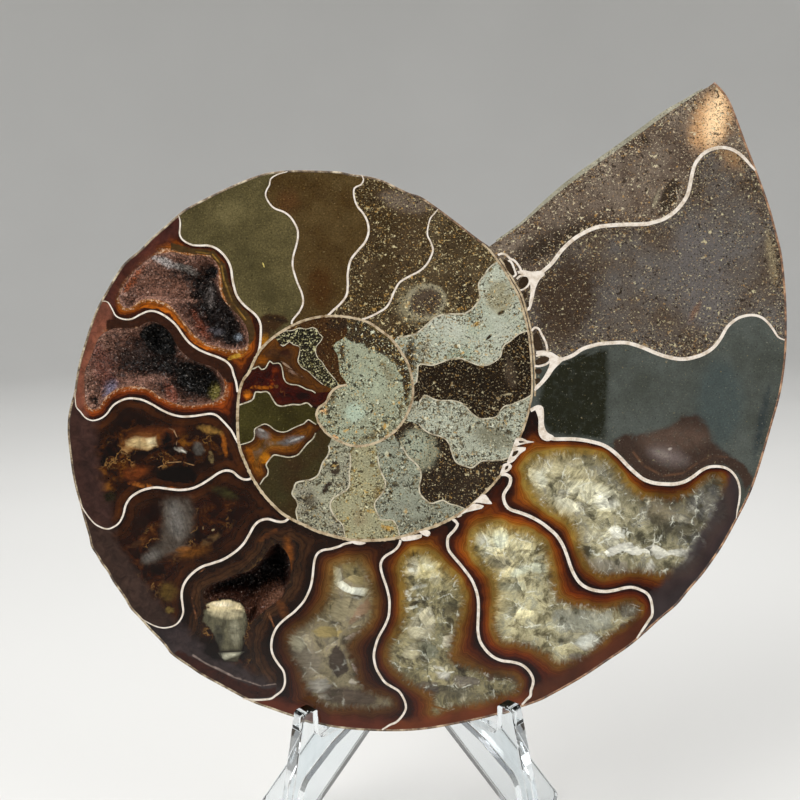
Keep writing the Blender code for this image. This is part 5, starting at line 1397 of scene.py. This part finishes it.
# the sawn edge along the aperture, where pale mud shows
bm = bmesh.new()
edgeLine = [p for p in aperture if 29 < p.x < 71]
addRibbon(bm, [p + Vector((0.12, -0.18)) for p in edgeLine],
          lambda t: 0.35 + 0.5 * smoothStep(1.0, 0.6, t) * smoothStep(0.0, 0.2, t),
          *inlays["aperture"])
apertureEdge = polishedMudstone("aperture_edge_mud", dict(
    kind="marl", plain=True, ground=("#8a8674", "#a39f8c"), grit="#bdb8a2", gold="#a08a5c",
    pore="#5a5446"))
addPiece(faceOut(bm), "aperture_edge", apertureEdge)

print("hollows")


def flankHeight(f):
    # share of the half thickness, from the umbilical seam at 0 to the venter at 1
    if f < 0.15:
        return 0.62 + 0.38 * math.sin(f / 0.15 * math.pi / 2)
    return max(0.0, 1 - ((f - 0.15) / 0.85) ** 1.7) ** 0.85


# the outline as a radius at each angle, for the flank behind the face
polar = []
for p in outline:
    angle = math.degrees(math.atan2(p.y, p.x))
    while polar and angle < polar[-1][0] - 90:
        angle += 360
    polar.append((angle, p.length))


def outlineRadius(degrees):
    for (a0, r0), (a1, r1) in zip(polar, polar[1:]):
        if degrees <= a1:
            return r0 + (r1 - r0) * max(0.0, degrees - a0) / (a1 - a0)
    return polar[-1][1]


# the flank's angles are in degrees and its radii in millimetres; the umbilicus, half
# thickness and growth are shares of the whorl's radius
shell = {
    "start": 46.7, "end": 404.7, "tipBend": 4.3, "bendOver": 24.0, "bendRadius": 52.0,
    "tipRadius": 95.7, "umbilicus": 0.26, "halfThickness": 0.22, "growth": 2.34,
    "rim": 1.0, "thickness": 0.4, "seam": -0.9, "tuck": 0.03,
    "sections": 520, "rings": 34, "umbilicusRings": 13, "ribs": 0.34, "bodyRibs": 52,
}


def whorlHeight(radius, outer):
    # where a radius falls on a whorl of this outer radius, and how high its flank is there
    f = (radius / outer - shell["umbilicus"]) / (1 - shell["umbilicus"])
    return f, shell["halfThickness"] * outer * flankHeight(max(0.0, min(1.0, f)))


def thicknessAt(p):
    angle = math.degrees(math.atan2(p[1], p[0])) % 360
    if angle < shell["start"]:
        angle += 360
    return whorlHeight(math.hypot(p[0], p[1]), outlineRadius(angle))[1]


druse = {
    "depth": 0.8, "wallLeft": 1.6, "clear": 0.35, "size": (0.13, 0.36), "long": (1.6, 3.0),
    "large": 1.7, "largeShare": 0.06, "tip": 0.25, "lean": 0.35,
}
# each hollow's depth, steepness, lumps and crystal count, and its colours from the deepest part up to
# the face: darker with depth as painted shade
hollowLooks = {
    "main": dict(deep=8.5, steep=1.6, lump=1.2, crystals=500,
                 colours=("#030101", "#140805", "#2c170f", "#5c3f32")),
    "upper": dict(deep=5.2, steep=2.2, lump=0.8, crystals=1500,
                  colours=("#0c0706", "#35231c", "#6b4a3c", "#9a7666")),
    "side": dict(deep=5.6, steep=2.2, lump=0.8, crystals=1700,
                 colours=("#070403", "#2a1a14", "#5f4033", "#94705f")),
}


def drusyCalcite(name, look):
    # a crust of small calcite points: rough, with painted shade that darkens it in the depths, sugary
    # and sparkling
    material, shader, place, add = startMaterial(name, 0.4, 1.56, 0.2)
    grain = add("TexNoise", {"Vector": place, "Scale": 1 / 0.9, "Detail": 4.0,
                             "Roughness": 0.7})
    # painted shade: the deeper the crust lies below the face, the darker its colour
    height = add("SeparateXYZ", (place,), out=2)
    tone = add("Math", (add("MapRange", (height, -look["deep"] * 0.9, -0.4, 0.0, 0.6)),
                        add("MapRange", (grain, 0.3, 0.7, -0.1, 0.35))))
    colour = add("ValToRGB", {"Fac": tone}, stops=tuple(zip(
        (0.05, 0.3, 0.6, 0.95), look["colours"])))
    colour = stainsAndPaintedLightOver(add, place, colour)
    # sugar grains about 0.4 mm across catch the light or fall dark
    sugar = add("TexNoise", {"Vector": place, "Scale": 1 / 0.4, "Detail": 2.0,
                             "Roughness": 0.7})
    colour = mottled(add, colour, sugar, 0.22, 1.75, 0.36, 0.64)
    spark = add("MapRange", (sugar, 0.65, 0.71, 0.0, 0.6))
    wear(shader, add("Mix", {0: spark, 6: colour, 7: shade("#d8cabc")}, **rgba))
    return material


rng = Random(11)
for name, look in hollowLooks.items():
    own = grainAndLightShapes[name]
    bm = chamberMesh(openings[name], {"hollow": name}, own)
    bmesh.ops.subdivide_edges(bm, edges=bm.edges[:], cuts=2, use_grid_fill=True)
    tree = hollowTrees[name]
    for vert in bm.verts:
        p = vert.co.copy()
        far = tree.find(p)[2]
        room = max(1.0, thicknessAt(p) - druse["wallLeft"])
        depth = min(look["deep"], room) * (1 - math.exp(-far / look["steep"]))
        lumps = noise.fractal(p / 2.5, 0.8, 2.0, 3) * look["lump"]
        grain = noise.voronoi(p / 0.7)[0][0] * 0.5
        fade = smoothStep(0.0, 0.9, far)
        vert.co.z = -max(0.0, depth + (lumps + grain) * fade)
    bm.normal_update()
    spots = [(f.calc_center_median(), f.normal.copy()) for f in bm.faces]
    thicken(bm, druse["depth"])
    crust = drusyCalcite("druse_" + name + "_calcite", look)
    addPiece(bm, "druse_" + name, crust)
    bm = bmesh.new()
    stainAndPaintedLight = bm.loops.layers.float_color.new("stainAndPaintedLight")
    for _ in range(look["crystals"]):
        centre, normal = rng.choice(spots)
        if tree.find((centre.x, centre.y, 0))[2] < druse["clear"]:
            continue
        size = rng.uniform(*druse["size"])
        size *= druse["large"] if rng.random() < druse["largeShare"] else 1.0
        lean = Vector([rng.gauss(0, druse["lean"]) for _ in range(3)])
        turn = (normal + lean).to_track_quat("Z", "Y").to_matrix().to_4x4()
        turn = Matrix.Translation(centre) @ turn @ Matrix.Rotation(rng.uniform(0, 6.28), 4, "Z")
        cone = bmesh.ops.create_cone(
            bm, cap_ends=True, segments=6, radius1=size, radius2=size * druse["tip"],
            depth=size * rng.uniform(*druse["long"]), matrix=turn)
        tint, *_ = stainAndPaintedLightAt(centre.xy, own)
        for vert in cone["verts"]:
            for loop in vert.link_loops:
                loop[stainAndPaintedLight] = tint
    addPiece(faceOut(bm), "crystals_" + name, crust)


print("flank behind the face")


def flankPoint(degrees, f):
    # a point of the flank: f from the seam to the venter of the whorl at this angle
    across = shell["umbilicus"] + (1 - shell["umbilicus"]) * f
    nearEnd = max(0.0, 1 - (shell["end"] - degrees) / shell["bendOver"])
    turned = degrees
    for _ in range(4 if nearEnd else 1):
        # near the aperture each section bends forward, so its outline radius moves too
        outer = outlineRadius(turned)
        reach = max(0.0, outer * across - shell["bendRadius"])
        outward = reach / (shell["tipRadius"] - shell["bendRadius"])
        turned = degrees - shell["tipBend"] * nearEnd * outward
    radius = outer * across
    angle = math.radians(turned)
    thick = shell["halfThickness"] * outer
    height = shell["rim"] + (thick - shell["rim"]) * flankHeight(f)
    return radius, angle, height


def makeFlank():
    # the half shell behind the face, which tells its material the angle, the way across
    # and the relief of each point
    bm = bmesh.new()
    layers = [bm.verts.layers.float.new(key) for key in ("around", "across", "relief")]
    umbilicus, turns = shell["umbilicus"], shell["umbilicusRings"]
    rows = []
    for i in range(shell["sections"] + 1):
        degrees = shell["start"] + (shell["end"] - shell["start"]) * i / shell["sections"]
        row = []
        outer = outlineRadius(degrees)
        # the umbilicus shows the whorls inside, each smaller by the coil's growth
        for k in range(turns):
            share = k / turns
            radius = outer * umbilicus * share
            inner = outer / shell["growth"]
            f, high = whorlHeight(radius, inner)
            if f < 0:
                low = whorlHeight(radius, inner / shell["growth"])[1]
                high = high * smoothStep(-0.08, 0, f) + low * (1 - smoothStep(-0.08, 0, f))
            angle = math.radians(degrees)
            row.append((radius * math.cos(angle), radius * math.sin(angle), -high,
                        degrees, share * 0.3 - 0.4, 0.5))
        for j in range(shell["rings"] + 1):
            f = j / shell["rings"]
            f = f * (1.25 - 0.25 * f) if j < shell["rings"] else 1.0
            radius, angle, height = flankPoint(degrees, f)
            size = outer / 90
            swing = 5 * math.sin(f * 5.2) + 9 * f * f
            wave = math.radians((degrees - swing) * shell["bodyRibs"])
            rib = math.cos(wave) + 0.35 * math.cos(3.3 * wave)
            fade = smoothStep(0.08, 0.45, f) * (1 - smoothStep(0.93, 1.0, f))
            worn = 0.5 + noise.noise(Vector((radius * math.cos(angle) / 22,
                                             radius * math.sin(angle) / 22, 0)))
            height += shell["ribs"] * rib * size * fade * worn
            row.append((radius * math.cos(angle), radius * math.sin(angle), -height,
                        degrees, f, 0.5 + 0.4 * rib * fade * worn))
        x, y, z, *_ = row[-1]
        row.append((x, y, shell["tuck"], degrees, 1.02, 0.5))
        made = []
        for x, y, z, *told in row:
            made.append(bm.verts.new((x, y, z)))
            for layer, value in zip(layers, told):
                made[-1][layer] = value
        rows.append(made)
    for low, high in zip(rows, rows[1:]):
        for j in range(len(low) - 1):
            bm.faces.new((low[j], low[j + 1], high[j + 1], high[j]))
    # the first section runs back under the broken end, where the umbilicus steps down
    lead = []
    back = Matrix.Rotation(math.radians(shell["end"] - 360 - shell["start"]), 3, "Z")
    for vert in rows[0]:
        lead.append(bm.verts.new(back @ vert.co))
        for layer in layers:
            lead[-1][layer] = vert[layer]
    lead[-1].co.z = shell["seam"]
    for low, high, count in ((lead, rows[0], len(lead)), (rows[-1], lead, turns + 1)):
        for j in range(count - 1):
            bm.faces.new((low[j], low[j + 1], high[j + 1], high[j]))
    bmesh.ops.remove_doubles(bm, verts=bm.verts, dist=0.001)
    return faceOut(bm)


def agedShell(name):
    # worn outer shell: tan to brown layers, growth lines, lobed suture lines and nacre
    material, shader, place, add = startMaterial(name, 0.32, 1.53)
    around, across, relief = (add("Attribute", out="Fac", attribute_name=key)
                              for key in ("around", "across", "relief"))
    base = add("ValToRGB", {"Fac": add("TexNoise", {
        "Vector": place, "Scale": 1 / 14, "Detail": 6.0, "Roughness": 0.62})}, stops=(
        (0.3, "#4d3a2a"), (0.44, "#6e543c"), (0.58, "#8c6d4d"), (0.72, "#ab8f6c")))
    swing = add("Math", (add("Math", (across, 5.2), **times),), operation="SINE")
    turned = add("Math", (around, add("Math", (swing, 5.0), **times)), operation="SUBTRACT")
    growth = add("TexNoise", {"W": turned, "Scale": 0.9, "Detail": 6.0, "Roughness": 0.7},
                 noise_dimensions="1D")
    # growth lines, and painted shade from the relief: darker in the troughs between the ribs, lighter on
    # their crests
    for value, low, high in ((growth, 0.8, 1.18), (relief, 0.72, 1.2)):
        base = mottled(add, base, value, low, high)
    # the suture: a line that swings in lobes, one for each chamber
    lobed = add("Math", (around, 1 / 17), **times)
    for count, size in ((4.0, 0.22), (11.0, 0.09), (29.0, 0.045)):
        wave = add("Math", (add("Math", (across, count * 6.283), **times),), operation="SINE")
        lobed = add("Math", (wave, size, lobed), operation="MULTIPLY_ADD")
    line = add("Math", (add("Math", (add("Math", (lobed,), operation="FRACT"), 0.5),
                            operation="SUBTRACT"),), operation="ABSOLUTE")
    line = add("Math", (add("MapRange", (line, 0.012, 0.03, 0.8, 0.0)),
                        add("MapRange", (around, 300.0, 312.0, 1.0, 0.0))), **times)
    base = add("Mix", {0: line, 6: base, 7: shade("#33231a")}, **rgba)
    nacre = add("MapRange", (add("TexNoise", {
        "Vector": place, "Scale": 1 / 12, "Detail": 7.0, "Roughness": 0.72}), 0.6, 0.64,
        0.0, 0.8))
    pearl = add("ValToRGB", {"Fac": add("TexNoise", {
        "Vector": place, "Scale": 1 / 5, "Detail": 3.0})}, stops=(
        (0.35, "#a8977a"), (0.45, "#bba98e"), (0.55, "#a3a892"), (0.65, "#c2a692")))
    base = add("Mix", {0: nacre, 6: base, 7: pearl}, **rgba)
    # the sawn rim shows the shell's layers: cream on the left, tan on the right
    height = add("SeparateXYZ", (place,), out=2)
    sideways = add("SeparateXYZ", (place,), out=0)
    cut = add("MapRange", (height, -0.25, -0.1))
    mottle = add("TexNoise", {"Vector": place, "Scale": 1 / 2.4, "Detail": 5.0,
                              "Roughness": 0.7})
    cream = add("ValToRGB", {"Fac": mottle}, stops=(
        (0.4, "#3d2e20"), (0.5, "#7a664c"), (0.62, "#c2b498")))
    tan = add("ValToRGB", {"Fac": mottle}, stops=(
        (0.4, "#38231a"), (0.5, "#7d5638"), (0.62, "#b58c68")))
    edge = add("Mix", {0: add("MapRange", (sideways, 0.0, 40.0)), 6: cream, 7: tan}, **rgba)
    base = add("Mix", {0: cut, 6: base, 7: edge}, **rgba)
    bump = add("Bump", {"Height": add("TexNoise", {
        "Vector": place, "Scale": 1 / 0.7, "Detail": 5.0, "Roughness": 0.65}),
        "Strength": 0.35, "Distance": 0.00025})
    wear(shader, base, add("MapRange", (nacre, 0.0, 1.0, 0.42, 0.18)), bump)
    return material


flank = addPiece(makeFlank(), "flank", agedShell("aged_shell"), replaces=("ammonite_half",),
                 smooth=True)

# the broken end of the body chamber: rough mud between the face and the flank
broken = {"across": 40, "steps": 12, "rough": 0.7, "inset": 0.5, "thick": 0.8, "short": 0.3}
bm = bmesh.new()
count = broken["across"]
last = [flankPoint(shell["end"], j / count) for j in range(count + 1)]
_, deep = drawOut(bm, [(r * math.cos(a), r * math.sin(a), shell["seam"]) for r, a, _ in last])
for vert, (_, _, height) in zip(deep, last):
    vert.co.z = -max(1.0, height - broken["short"])
upright = [e for e in bm.edges if abs(e.verts[0].co.z - e.verts[1].co.z) > 0.09
           and (e.verts[0].co.xy - e.verts[1].co.xy).length < 1e-4]
bmesh.ops.subdivide_edges(bm, edges=upright, cuts=broken["steps"], use_grid_fill=True)
endAngle = math.radians(shell["end"])
inward = Vector((math.sin(endAngle), -math.cos(endAngle)))
for vert in bm.verts:
    rough = noise.fractal(vert.co / 5, 0.9, 2.0, 4) * broken["rough"] + broken["inset"]
    vert.co.xy += inward * max(0.0, rough)
faceOut(bm)
sweep(bm, bm.faces[:], (*(inward * broken["thick"]), 0))
addPiece(faceOut(bm), "aperture_end", polishedMudstone("broken_mud", dict(
    kind="grit", plain=True, ground=("#5e5446", "#7d715e"), grit="#a89a7c",
    gold="#8a6e44", pore="#2c241a")), smooth=True)

wall = flank.modifiers.new("wall", "SOLIDIFY")
wall.thickness = shell["thickness"] * mm
wall.offset = -1

print("easel")
# clear cast acrylic with polished edges: see-through, faintly blue along its thickness
acrylicLook = {"tint": "#f4f8fa", "cool": "#eff5f8", "roughness": 0.03, "edge": 0.25}
material, shader, place, add = startMaterial("cast_acrylic", acrylicLook["roughness"], 1.49)
shader.inputs["Transmission Weight"].default_value = 1.0
wear(shader, add("ValToRGB", {"Fac": add("TexNoise", {"Vector": place, "Scale": 1 / 30})},
                 stops=((0.4, acrylicLook["tint"]), (0.6, acrylicLook["cool"]))))
for side in ("left", "right"):
    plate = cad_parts["easel_plate_" + side]
    bm = bmesh.new()
    bm.from_mesh(plate.data)
    bmesh.ops.remove_doubles(bm, verts=bm.verts, dist=1e-6)
    bmesh.ops.dissolve_limit(bm, angle_limit=0.01, verts=bm.verts, edges=bm.edges)
    sharp = [e for e in bm.edges if e.is_manifold and e.calc_face_angle(0) > 0.9]
    bmesh.ops.bevel(bm, geom=sharp, offset=acrylicLook["edge"] * mm, offset_type="OFFSET",
                    affect="EDGES", segments=2, profile=0.5, material=-1)
    addPiece(bm, "acrylic_plate_" + side, material,
             replaces=("easel_plate_" + side,), placed=True)
